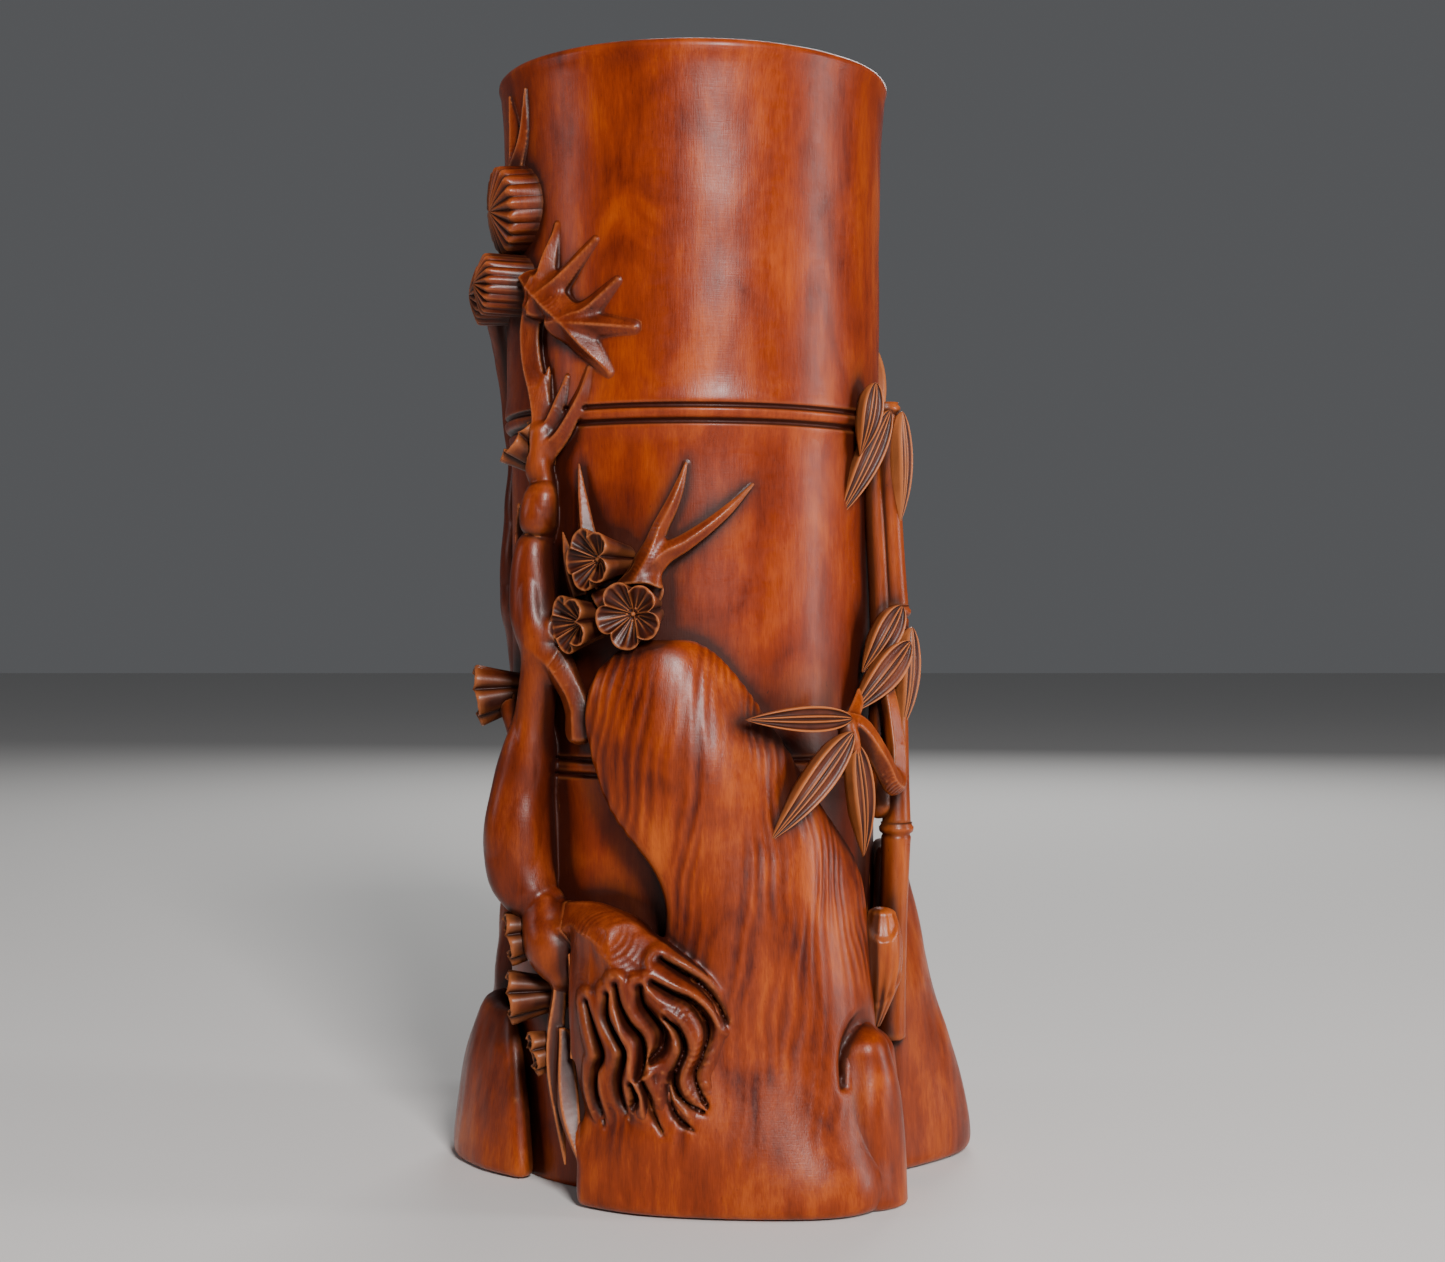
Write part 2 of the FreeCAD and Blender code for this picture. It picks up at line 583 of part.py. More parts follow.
plum_roots = keep(limbs("plum_roots", ROOT_STRANDS, front_rock, *root_blossoms))
trunk_blossoms = [*root_blossoms, ring_blossom, side_blossom]
plum_trunk = keep(limbs("plum_trunk", LIMBS["plum_trunk"], plum_roots, front_rock, *trunk_blossoms))
plum_stub = keep(limbs("plum_stub", LIMBS["plum_stub"], plum_trunk, front_rock))
bough_neighbours = [plum_trunk, plum_stub, front_rock, *front_blossoms]
plum_bough = keep(limbs("plum_bough", LIMBS["plum_bough"], *bough_neighbours))
keep(limbs("antler_twig", LIMBS["antler_twig"], plum_bough, front_rock, *front_blossoms))
keep(limbs("plum_spike", LIMBS["plum_spike"], plum_bough, *front_blossoms))
upper_bough = keep(limbs("upper_bough", LIMBS["upper_bough"], plum_trunk, ring_blossom))
thorn_spray = keep(limbs("thorn_spray", LIMBS["thorn_spray"], upper_bough))
rim_twig = keep(limbs("rim_twig", LIMBS["rim_twig"]))
pine_limb = keep(limbs("pine_limb", LIMBS["pine_limb"], left_rock, rear_rock))
keep(limbs("rear_twig", LIMBS["rear_twig"], rear_rock, *rear_blossoms))
keep(limbs("root_leaves", LEAF_SPIKES, plum_roots, plum_trunk, front_rock, *root_blossoms))


# ---------------------------------------------------------------------------------------- needle fans

# Name: azimuth, height, lift of the rim off the wall, turn, nod, and radius.
FANS = {
    "needle_fan_upper": (-62, 226, 6.0, -9, 6, 10.2),
    "needle_fan_middle": (-62, 208, 9.5, -16, -2, 7.2),
    "needle_fan_side": (-80, 208, 7.5, -10, 0, 7.2),
    "needle_fan_rear": (-131, 212, 5.5, 6, 4, 10.2),
    "needle_fan_low": (-146, 151, 5.5, 6, 0, 9.2),
}
FLUTES = 16
SHOULDER = 0.7  # the dome's shoulder, as shares of its radius and of its crown
SHOULDER_RISE = 0.6
FLUTE_REACH = 1.2


def needle_fan(label, *neighbours):
    """A cluster of pine needles: a domed drum with flutes that run out from its middle."""
    azimuth, height, lift, turn, nod, design_radius = FANS[label]
    body = new_body("form_" + label)
    radius = f"{design_radius * RELIEF}"
    rim = f"{lift * RELIEF} + sizes.embed"
    dome = sketch_on(body, "XZ_Plane", "dome_" + label)
    outline(
        dome,
        [
            ("0", "0"),
            (radius, "0"),
            (radius, rim),
            (f"{radius} * {SHOULDER}", f"{rim} + sizes.fan_dome * {SHOULDER_RISE}"),
            ("0", f"{rim} + sizes.fan_dome"),
        ],
    )
    revolve(body, dome, "drum_" + label)
    flute = sketch_on(body, "YZ_Plane", "flute_" + label)
    outline(
        flute,
        [
            ("0 - sizes.flute_width / 2", f"{rim} + sizes.fan_dome + 1"),
            ("0", f"{rim} - sizes.flute_width"),
            ("sizes.flute_width / 2", f"{rim} + sizes.fan_dome + 1"),
        ],
    )
    cut = pad(body, flute, "cut_" + label, f"{radius} * {FLUTE_REACH}", "PartDesign::Pocket")
    cut.Reversed = True
    pattern = body.newObject("PartDesign::PolarPattern", "flutes_" + label)
    pattern.Originals = [cut]
    pattern.Axis = (dome, ["V_Axis"])
    pattern.Angle = 360.0
    pattern.Occurrences = FLUTES
    body.Tip = pattern
    body.Placement = wall_placement(azimuth, height, -size("embed"), turn=turn, pitch=nod)
    return seat(label, body, core, *neighbours)


fan_upper = keep(needle_fan("needle_fan_upper", rim_twig))
fan_middle = keep(needle_fan("needle_fan_middle", thorn_spray, upper_bough, fan_upper))
keep(needle_fan("needle_fan_side", fan_middle, fan_upper, pine_limb))
keep(needle_fan("needle_fan_rear", pine_limb))
keep(needle_fan("needle_fan_low", pine_limb))


# ------------------------------------------------------------------------------------ bamboo stalk

# Name: foot and head of each length of the stalk, as azimuth, height and stand-off in stalk radii, and its
# own radius in stalk radii.
STALKS = {
    "stalk_lower": ((64.5, 32, 2.0), (68, 82, 2.12), 1.1),
    "stalk_middle": ((68, 82, 2.12), (74, 133, 1.58), 1.0),
    "stalk_upper": ((74, 133, 1.58), (70, 181, 1.03), 0.97),
    "rear_stalk_lower": ((128, 16, 0.76), (124, 92, 0.85), 1.0),
    "rear_stalk_middle": ((124, 92, 0.85), (127, 148, 0.79), 0.92),
    "rear_stalk_upper": ((127, 148, 0.79), (123, 205, 0.61), 0.84),
}
WAIST = 0.94  # how much of its radius a length keeps at its waist
WAIST_HEIGHT = 0.45  # the height of the waist, as a share of the length
NODE_SHOULDER = 1.6  # where the node begins and is narrowest, in node heights below the head
NODE_NECK = 1.3


def stalk_point(azimuth, height, stand_off):
    """A point on the middle of a stalk, its stand-off in stalk radii."""
    return place(azimuth, height, stand_off * size("stalk_radius"))


def stalk(label, *neighbours):
    """One length of thin bamboo, waisted, with a node at its head."""
    foot, head, share = STALKS[label]
    start = stalk_point(*foot)
    reach = stalk_point(*head) - start
    length = f"{reach.Length}"
    radius = f"sizes.stalk_radius * {share}"
    body = new_body("form_" + label)
    profile = sketch_on(body, "XZ_Plane", "profile_" + label)
    outline(
        profile,
        [
            ("0", "sizes.stalk_gap"),
            (radius, "sizes.stalk_gap"),
            (f"{radius} * {WAIST}", f"{length} * {WAIST_HEIGHT}"),
            (radius, f"{length} - sizes.stalk_node * {NODE_SHOULDER}"),
            (f"{radius} - sizes.stalk_bead / 2", f"{length} - sizes.stalk_node * {NODE_NECK}"),
            (f"{radius} + sizes.stalk_bead", f"{length} - sizes.stalk_node"),
            (f"{radius} + sizes.stalk_bead", f"{length} - sizes.stalk_gap"),
            ("0", f"{length} - sizes.stalk_gap"),
        ],
    )
    revolve(body, profile, "turning_" + label)
    body.Placement = FreeCAD.Placement(start, FreeCAD.Rotation(UP, reach))
    return seat(label, body, core, *neighbours)


stalk_lower = keep(stalk("stalk_lower", right_rock, front_rock, ledge_rock))
stalk_middle = keep(stalk("stalk_middle", stalk_lower))
stalk_upper = keep(stalk("stalk_upper", stalk_middle))
rear_stalk_lower = keep(stalk("rear_stalk_lower", rear_rock, right_rock))
rear_stalk_middle = keep(stalk("rear_stalk_middle", rear_stalk_lower))
rear_stalk_upper = keep(stalk("rear_stalk_upper", rear_stalk_middle))
curled_twig = keep(limbs("curled_twig", LIMBS["curled_twig"], stalk_middle, stalk_lower, front_rock))


# The shoot's outline as shares of its radius and length, and its foot and tip as azimuth, height, stand-off.
SHOOT_OUTLINE = [(0.55, 0), (0.9, 0.25), (1, 0.5), (0.85, 0.75), (0.4, 0.95)]
SHOOT_FOOT = (51, 36.5, 9)
SHOOT_TIP = (53, 62, 9.6)


def bamboo_shoot(label, *neighbours):
    """A young bamboo shoot: a plump turned spindle that stands in the crease between two rocks."""
    body = new_body("form_" + label)
    profile = sketch_on(body, "XZ_Plane", "profile_" + label)
    side = [
        (f"sizes.shoot_radius * {across}", f"sizes.shoot_length * {along}") for across, along in SHOOT_OUTLINE
    ]
    outline(profile, [("0", "0"), *side, ("0", "sizes.shoot_length")])
    revolve(body, profile, "turning_" + label)
    foot, tip = (place(azimuth, height, off * RELIEF) for azimuth, height, off in (SHOOT_FOOT, SHOOT_TIP))
    body.Placement = FreeCAD.Placement(foot, FreeCAD.Rotation(UP, tip - foot))
    return seat(label, body, core, *neighbours)


keep(bamboo_shoot("bamboo_shoot", front_rock, ledge_rock, right_rock, stalk_lower))


# ---------------------------------------------------------------------------------------------- leaves

# Name: azimuth, height and stand-off of the leaf's base, heading, pitch, turn, length and width.
LEAVES = {
    "spray_leaf_left": (37.5, 107.5, 12.5, -90, -4, -10, 25.0, 5.6),
    "spray_leaf_low": (37.5, 104.5, 13.0, -140, -4, -6, 31.0, 6.6),
    "spray_leaf_down": (39.5, 101.5, 12.0, 166, -6, 4, 27.0, 6.2),
    "middle_leaf_upper": (68.5, 133, 7.4, -140, 2, -16, 22.0, 6.6),
    "middle_leaf_lower": (68.5, 124.5, 9.4, -132, 2, -16, 25.0, 7.2),
    "middle_leaf_outer": (71.5, 128, 8.9, -172, 0, 0, 25.0, 6.2),
    "top_leaf_inner": (59.5, 185, 3.4, -168, 0, 0, 18.0, 5.4),
    "top_leaf_long": (66, 180.5, 4.4, -152, -2, -6, 34.0, 6.0),
    "top_leaf_outer": (70, 179, 6.4, 178, 0, 6, 27.0, 5.6),
    "rear_leaf_high": (122.5, 203.5, 3.0, 150, 0, 0, 24.0, 6.4),
    "rear_leaf_middle": (121, 202, 4.6, -160, 0, 0, 24.0, 6.4),
    "rear_leaf_left": (127, 152, 4.4, 128, 0, 0, 24.0, 6.4),
    "rear_leaf_right": (125.5, 150, 4.4, -130, 0, 0, 24.0, 6.4),
}


def leaf_outline(sketch, length, width):
    """A leaf's outline: two arcs to each side, level with each other where the leaf is widest."""
    widest = length * size("leaf_widest")
    half = width / 2
    for side in (1, -1):
        for end, toward in ((0.0, -1), (length, 1)):
            span = abs(end - widest)
            radius = (span**2 + half**2) / (2 * half)
            middle = Vector(widest, side * (half - radius), 0)
            at_bulge = math.radians(180 - 90 * side)
            at_end = at_bulge - side * toward * math.asin(span / radius)
            first, last = sorted((at_bulge, at_end))
            arc = Part.ArcOfCircle(Part.Circle(middle, UP, radius), first, last)
            edge = sketch.addGeometry(arc, False)
            end_point, bulge_point = (1, 2) if at_end < at_bulge else (2, 1)
            pin_point(sketch, edge, end_point, str(end), "0", (end, 0.0))
            bulge = (f"{length} * sizes.leaf_widest", str(side * half))
            pin_point(sketch, edge, bulge_point, *bulge, (widest, side * half))
            sketch.addConstraint(Sketcher.Constraint("Vertical", edge, 3, edge, bulge_point))


def leaf(label, *neighbours):
    """A bamboo leaf: a blade that lies along the wall from its base to its tip."""
    azimuth, height, stand_off, heading, pitch, turn, length, width = LEAVES[label]
    body = new_body("form_" + label)
    sketch = sketch_on(body, "XY_Plane", "blade_" + label)
    leaf_outline(sketch, length * RELIEF, width * RELIEF)
    pad(body, sketch, "blade_pad_" + label, "sizes.leaf_thickness")
    body.Placement = wall_placement(azimuth, height, stand_off * RELIEF, heading, pitch, turn)
    return seat(label, body, core, *neighbours)


spray_low = keep(leaf("spray_leaf_low", curled_twig, front_rock))
keep(leaf("spray_leaf_left", curled_twig, front_rock, spray_low))
keep(leaf("spray_leaf_down", curled_twig, front_rock, spray_low))
middle_upper = keep(leaf("middle_leaf_upper", stalk_middle, stalk_upper, curled_twig))
middle_lower = keep(leaf("middle_leaf_lower", stalk_middle, curled_twig, middle_upper))
keep(leaf("middle_leaf_outer", stalk_middle, curled_twig, middle_lower, middle_upper))
top_inner = keep(leaf("top_leaf_inner", stalk_upper))
top_long = keep(leaf("top_leaf_long", stalk_upper, top_inner))
keep(leaf("top_leaf_outer", stalk_upper, top_long, top_inner))
rear_high = keep(leaf("rear_leaf_high", rear_stalk_upper))
keep(leaf("rear_leaf_middle", rear_stalk_upper, rear_high))
rear_left = keep(leaf("rear_leaf_left", rear_stalk_middle, rear_stalk_upper))
keep(leaf("rear_leaf_right", rear_stalk_middle, rear_stalk_upper, rear_left))


# ---------------------------------------------------------------------------------------------- export

CHIP = 0.02  # a solid under this share of its piece's largest is only a chip that the seating cut off


def without_chips(shape):
    """The shape without the chips that seating cut off it."""
    largest = max(solid.Volume for solid in shape.Solids)
    solids = [solid for solid in shape.Solids if solid.Volume > CHIP * largest]
    return solids[0] if len(solids) == 1 else Part.makeCompound(solids)


document.recompute()
for thing in document.Objects:
    if "Invalid" in thing.State or "Error" in thing.State:
        raise RuntimeError(f"{thing.Name} failed: {thing.State}")
os.makedirs("parts", exist_ok=True)
for stale in os.listdir("parts"):
    os.remove(os.path.join("parts", stale))
for feature in parts:
    shape = feature.Shape
    if shape.isNull() or not shape.isValid() or not shape.Solids:
        raise RuntimeError(f"{feature.Label} has no valid solid")
    shape = without_chips(shape)
    shape.exportStep(os.path.join("parts", feature.Label + ".step"))
    print(f"{feature.Label:22s} solids {len(shape.Solids)}  volume {shape.Volume / 1000:8.2f} cm3")
print(len(parts), "sub-parts written")
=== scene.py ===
# %% [markdown]
# # A carved boxwood brush pot
# The pot is one block of boxwood, turned and carved as a bamboo culm that stands among rocks. A plum tree
# climbs its left side, a thin bamboo its right, and needle fans of a pine its upper left. This lesson
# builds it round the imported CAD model: the CAD says where each motif sits and how large it is, and each
# cell below gives one kind of motif the shape and the finish that a carver would.

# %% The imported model
import math

import bpy
import numpy as np
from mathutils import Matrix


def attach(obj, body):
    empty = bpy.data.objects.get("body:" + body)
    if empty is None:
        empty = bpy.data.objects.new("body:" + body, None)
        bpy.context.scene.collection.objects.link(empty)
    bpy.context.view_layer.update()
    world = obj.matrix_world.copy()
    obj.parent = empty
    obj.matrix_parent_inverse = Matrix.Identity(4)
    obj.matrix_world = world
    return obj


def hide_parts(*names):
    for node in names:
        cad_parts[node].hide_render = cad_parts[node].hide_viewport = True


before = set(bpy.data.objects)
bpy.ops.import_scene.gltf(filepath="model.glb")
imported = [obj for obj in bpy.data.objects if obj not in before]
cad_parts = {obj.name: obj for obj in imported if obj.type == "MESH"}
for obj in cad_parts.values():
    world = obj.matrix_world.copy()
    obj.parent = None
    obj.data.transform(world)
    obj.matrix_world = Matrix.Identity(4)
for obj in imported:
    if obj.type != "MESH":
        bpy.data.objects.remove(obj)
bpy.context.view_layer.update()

import openvdb
from mathutils import Matrix, Vector

MM = 0.001  # the script works in millimetres, and Blender's meshes are in metres

# %% [markdown]
# ## Reading the frame
# The culm's sizes and the rocks' solids are read from the imported nodes. A node's mesh is read as an array
# of points in millimetres, and the culm's own radii are measured from it, so a changed CAD model carries
# through to them.

# %% Points, triangles and the culm's sizes


def node_points(name):
    """A CAD node's vertices, in millimetres."""
    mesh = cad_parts[name].data
    points = np.empty(len(mesh.vertices) * 3)
    mesh.vertices.foreach_get("co", points)
    return points.reshape(-1, 3) / MM


def node_triangles(name):
    """A CAD node's triangles, as rows of three vertex numbers."""
    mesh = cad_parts[name].data
    mesh.calc_loop_triangles()
    triangles = np.empty(len(mesh.loop_triangles) * 3, dtype=np.int32)
    mesh.loop_triangles.foreach_get("vertices", triangles)
    return triangles.reshape(-1, 3)


culm_points = node_points("culm_wall")
culm_reach = np.hypot(culm_points[:, 0], culm_points[:, 1])
HEIGHT = culm_points[:, 2].max()
CULM = culm_reach[culm_points[:, 2] < 0.5 * HEIGHT].max()
RIM = culm_reach.max()
BORE = culm_reach[culm_points[:, 2] > 0.9 * HEIGHT].min()
PLATE = node_points("foot_plate")[:, 2].max()
REBATE = culm_reach[(culm_points[:, 2] < 0.01) & (culm_reach < CULM - 1)].max()
RINGS = (0.369 * HEIGHT, 0.677 * HEIGHT)  # the node rings' middles
print(f"culm {HEIGHT:.1f} tall, radius {CULM:.1f}, rim {RIM:.1f}, bore {BORE:.1f} mm")

# %% [markdown]
# ## The surface rule of the culm
# Both the lathe and the carving tools need to know where the culm's surface is, so its radius is one
# function of height. The ground under the upper ring is scooped back, as a carver lowers a ground to let
# the relief stand out, and each node ring is a bead between two grooves.

# %% The culm's radius at a height


def bump(distance, width):
    """1 at the middle, falling to 0 within a few widths."""
    return 1.0 / (1.0 + (distance / width) ** 4)


def wall_radius(z):
    """The culm's outside radius at height z."""
    lowered = 0.5 * (1.0 + (RINGS[1] - z) / np.sqrt(4.0 + (RINGS[1] - z) ** 2))
    radius = CULM + 0.25 - 1.2 * lowered
    for ring in RINGS:
        radius = radius + 0.75 * bump(z - ring, 5.0)
        radius = radius + 0.35 * bump(z - ring, 1.0)
        radius = radius - 0.95 * (bump(z - ring - 1.75, 0.45) + bump(z - ring + 1.75, 0.45))
    share = np.clip(z / HEIGHT, 0, 1)
    return radius + (RIM - CULM - 0.25) * (0.35 * share**8 + 0.65 * share**24)


def on_wall(azimuth, height, out=0.0):
    """Points at azimuths in degrees, 0 at the front and positive to the right, out from the culm radius."""
    turn = np.radians(np.asarray(azimuth, float))
    reach = CULM + np.asarray(out, float)
    return np.stack([reach * np.sin(turn), -reach * np.cos(turn), np.asarray(height, float) + 0 * turn], -1)


# %% [markdown]
# Blossoms, needle fans and leaves are set on the wall like badges on a coat: at an azimuth and a height,
# then turned and tipped. One frame does that for all of them.

# %% A frame on the wall


def wall_frame(azimuth, height, stand_off, heading=0.0, pitch=0.0, turn=0.0):
    """The matrix whose Z points out of the wall and whose X runs along the heading, 0 up and 90 right.

    turn swings Z sideways, positive to the right, and pitch lifts the far end of X off the wall.
    """
    angles = (azimuth, heading, pitch, azimuth + turn)
    azimuth, bearing, tip, swing = (math.radians(angle) for angle in angles)
    up = Vector((0, 0, 1))
    out = Vector((math.sin(swing), -math.cos(swing), 0))
    along = up * math.cos(bearing) + up.cross(out) * math.sin(bearing)
    x_axis = along * math.cos(tip) + out * math.sin(tip)
    z_axis = out * math.cos(tip) - along * math.sin(tip)
    matrix = Matrix((x_axis, z_axis.cross(x_axis), z_axis)).transposed().to_4x4()
    from_axis = Vector((math.sin(azimuth), -math.cos(azimuth), 0))
    matrix.translation = from_axis * (CULM + stand_off) + up * height
    return matrix


# Each head's azimuth, height, lift of its face off the wall, turn, nod and radius.
BLOSSOMS = {
    "blossom_front_upper": (-21.5, 143, 9.5, -24, 0, 6.6),
    "blossom_front_left": (-26.5, 129.5, 9.8, -26, 6, 6.2),
    "blossom_front_right": (-13.2, 131.5, 10.8, -6, 6, 7.1),
    "blossom_ring": (-50, 166.5, 7.6, -34, -40, 6.0),
    "blossom_side": (-66, 113, 9.5, -22, 6, 6.9),
    "blossom_root_upper": (-41, 58.5, 12.5, -42, 8, 5.9),
    "blossom_root_middle": (-42, 44, 11.5, -44, 4, 5.9),
    "blossom_root_lower": (-32, 34, 12.5, -46, 12, 4.8),
    "blossom_rear_left": (187, 138, 8.5, 6, -6, 6.6),
    "blossom_rear_right": (160, 112, 8.0, -12, 4, 6.3),
}
FANS = {
    "needle_fan_upper": (-62, 226, 6.0, -9, 6, 10.2),
    "needle_fan_middle": (-62, 208, 9.5, -16, -2, 7.2),
    "needle_fan_side": (-80, 208, 7.5, -10, 0, 7.2),
    "needle_fan_rear": (-131, 212, 5.5, 6, 4, 10.2),
    "needle_fan_low": (-146, 151, 5.5, 6, 0, 9.2),
}

# %% [markdown]
# ## Noise
# Knife work is never even. A small lattice of fixed random numbers, blended smoothly, gives the same
# unevenness on every run.

# %% Smooth noise from a seeded lattice
LATTICE = np.random.default_rng(20).uniform(-1, 1, (32, 32, 32)).astype(np.float32)


def noise(points, scale, shift=0.0):
    """Smooth noise between about -1 and 1 at points, with features of that size, a number or x, y, z."""
    spot = points / np.asarray(scale, float) + shift
    cell = np.floor(spot).astype(int)
    part = spot - cell
    part = part * part * (3 - 2 * part)
    total = 0
    for corner in np.ndindex(2, 2, 2):
        weight = np.prod([part[..., k] if corner[k] else 1 - part[..., k] for k in range(3)], axis=0)
        i, j, k = [(cell[..., axis] + corner[axis]) % 32 for axis in range(3)]
        total = total + weight * LATTICE[i, j, k]
    return total


# %% [markdown]
# ## Carving with distance fields
# Branches, roots and rocks grow out of each other with soft fillets, which is hard to do with separate
# meshes. Each is held here as a field of distances to its surface, on a grid of small cubes. Two fields
# blend with a smooth minimum, which is the fillet that a gouge leaves, and OpenVDB, which Blender ships
# with, turns the result into a mesh.

# %% A window of the grid
FAR = 4.0  # distances are kept up to this far from a surface


class Window:
    """A box of grid points, step millimetres apart, in which a field is worked out."""

    def __init__(self, low, high, step):
        self.step = step
        self.first = np.floor(np.asarray(low) / step).astype(int)
        self.shape = tuple(np.ceil(np.asarray(high) / step).astype(int) - self.first + 1)

    def cut(self, low, high):
        """The slices that cover a smaller box, or None where it misses the window."""
        start = np.maximum(np.floor(np.asarray(low) / self.step).astype(int) - self.first, 0)
        stop = np.minimum(np.ceil(np.asarray(high) / self.step).astype(int) - self.first + 1, self.shape)
        if np.any(stop <= start):
            return None
        return tuple(slice(a, b) for a, b in zip(start, stop))

    def axes(self, part=None):
        """x, y and z of the grid points, shaped to broadcast together."""
        part = part or tuple(slice(0, n) for n in self.shape)
        return [
            ((self.first[k] + np.arange(part[k].start, part[k].stop)) * self.step)
            .reshape([-1 if k == axis else 1 for axis in range(3)])
            .astype(np.float32)
            for k in range(3)
        ]

    def empty(self):
        """A field with nothing in it."""
        return np.full(self.shape, FAR, np.float32)


FADE_FROM = 3.0  # a fillet is gone this far out from both surfaces
FADE_OVER = 1.5  # the distance it takes to fade


def soft_min(a, b, blend):
    """The union of two fields, with a fillet of about that size that fades out away from their surfaces."""
    mix = np.clip(0.5 + 0.5 * (b - a) / blend, 0, 1)
    plain = np.minimum(a, b)
    fade = np.clip((FADE_FROM - plain) / FADE_OVER, 0, 1)
    return plain + fade * (b + (a - b) * mix - blend * mix * (1 - mix) - plain)


def soft_max(a, b, blend):
    """The overlap of two fields, with a softened edge."""
    return -soft_min(-a, -b, blend)


# %% [markdown]
# A limb is a run of points along its middle: azimuth, height, how far out from the wall, and radius. Its
# section is round like a trunk, a ridge with two slopes like a bare twig, a ridge that leans to one side,
# or soft: round, with its outer face worn a little flatter.

# %% Limbs as fields
SLOPES = {
    "round": (),
    "ridge": ((-42.0, 0.36), (42.0, 0.36)),
    "lean": ((-24.0, 0.5), (52.0, 0.46)),
    "soft": ((-30.0, 0.72), (34.0, 0.7)),
}


def along_route(rows, spacing=0.9):
    """Points and radii at close steps along a smooth curve through the rows."""
    rows = np.asarray(rows, float)
    ends = np.vstack([2 * rows[0] - rows[1], rows, 2 * rows[-1] - rows[-2]])
    fine = []
    for a, b, c, d in zip(ends, ends[1:], ends[2:], ends[3:]):
        length = np.linalg.norm(on_wall(*b[:3]) - on_wall(*c[:3]))
        for t in np.linspace(0, 1, max(2, int(length / spacing)), endpoint=False):
            fine.append(b + 0.5 * t * (c - a + t * (2 * a - 5 * b + 4 * c - d + t * (3 * (b - c) + d - a))))
    fine = np.array(fine + [rows[-1]])
    return on_wall(fine[:, 0], fine[:, 1], fine[:, 2]), np.maximum(fine[:, 3], 0.25)


def limb_field(window, section, rows):
    """The field of one limb."""
    field = window.empty()
    points, radii = along_route(rows)
    for start, end, r0, r1 in zip(points, points[1:], radii, radii[1:]):
        margin = max(r0, r1) + FAR
        part = window.cut(np.minimum(start, end) - margin, np.maximum(start, end) + margin)
        if part is None:
            continue
        x, y, z = window.axes(part)
        x, y, z = x - start[0], y - start[1], z - start[2]
        run = end - start
        length = np.linalg.norm(run)
        ahead = run / length
        out = np.array([start[0], start[1], 0.0])
        out = out / np.linalg.norm(out)
        out = out - ahead * (out @ ahead)
        out = out / np.linalg.norm(out)
        side = np.cross(ahead, out)
        t = np.clip((x * run[0] + y * run[1] + z * run[2]) / length**2, 0, 1)
        x, y, z = x - t * run[0], y - t * run[1], z - t * run[2]
        radius = r0 + t * (r1 - r0)
        distance = np.sqrt(x * x + y * y + z * z) - radius
        for tilt, share in SLOPES[section]:
            lean = out * math.cos(math.radians(tilt)) + side * math.sin(math.radians(tilt))
            height = x * lean[0] + y * lean[1] + z * lean[2]
            distance = soft_max(distance, height - share * radius, 0.18)
        field[part] = np.minimum(field[part], distance)
    return field


# %% [markdown]
# A rock starts as its CAD solid. OpenVDB turns the solid's triangles into a field, which is blurred a
# little to round its edges.

# %% CAD solids as fields


def cad_field(window, name, rounding=1.0):
    """The field of a CAD node, its edges rounded by about that much."""
    transform = openvdb.createLinearTransform(voxelSize=window.step)
    grid = openvdb.FloatGrid.createLevelSetFromPolygons(
        node_points(name), triangles=node_triangles(name), transform=transform, halfWidth=FAR / window.step
    )
    field = window.empty()
    grid.copyToArray(field, ijk=tuple(int(n) for n in window.first))
    reach = int(round(rounding / window.step))
    for axis in (0, 1, 2) * 2 if reach else ():
        padded = np.pad(field, [(reach + 1, reach) if k == axis else (0, 0) for k in range(3)], mode="edge")
        total = np.cumsum(padded, axis=axis, dtype=np.float64)
        size = field.shape[axis]
        ahead = np.take(total, np.arange(2 * reach + 1, 2 * reach + 1 + size), axis=axis)
        behind = np.take(total, np.arange(0, size), axis=axis)
        field = ((ahead - behind) / (2 * reach + 1)).astype(np.float32)
    return field


# %% [markdown]
# ## What is carved
# The tables give each carved motif's limbs. Azimuths are degrees from the front, and the other numbers
# are millimetres. They follow the CAD limbs, with the finer branching that a solid for collision leaves
# out. The curled twig also holds the thin web that joins the bamboo stalk to the wall behind it.

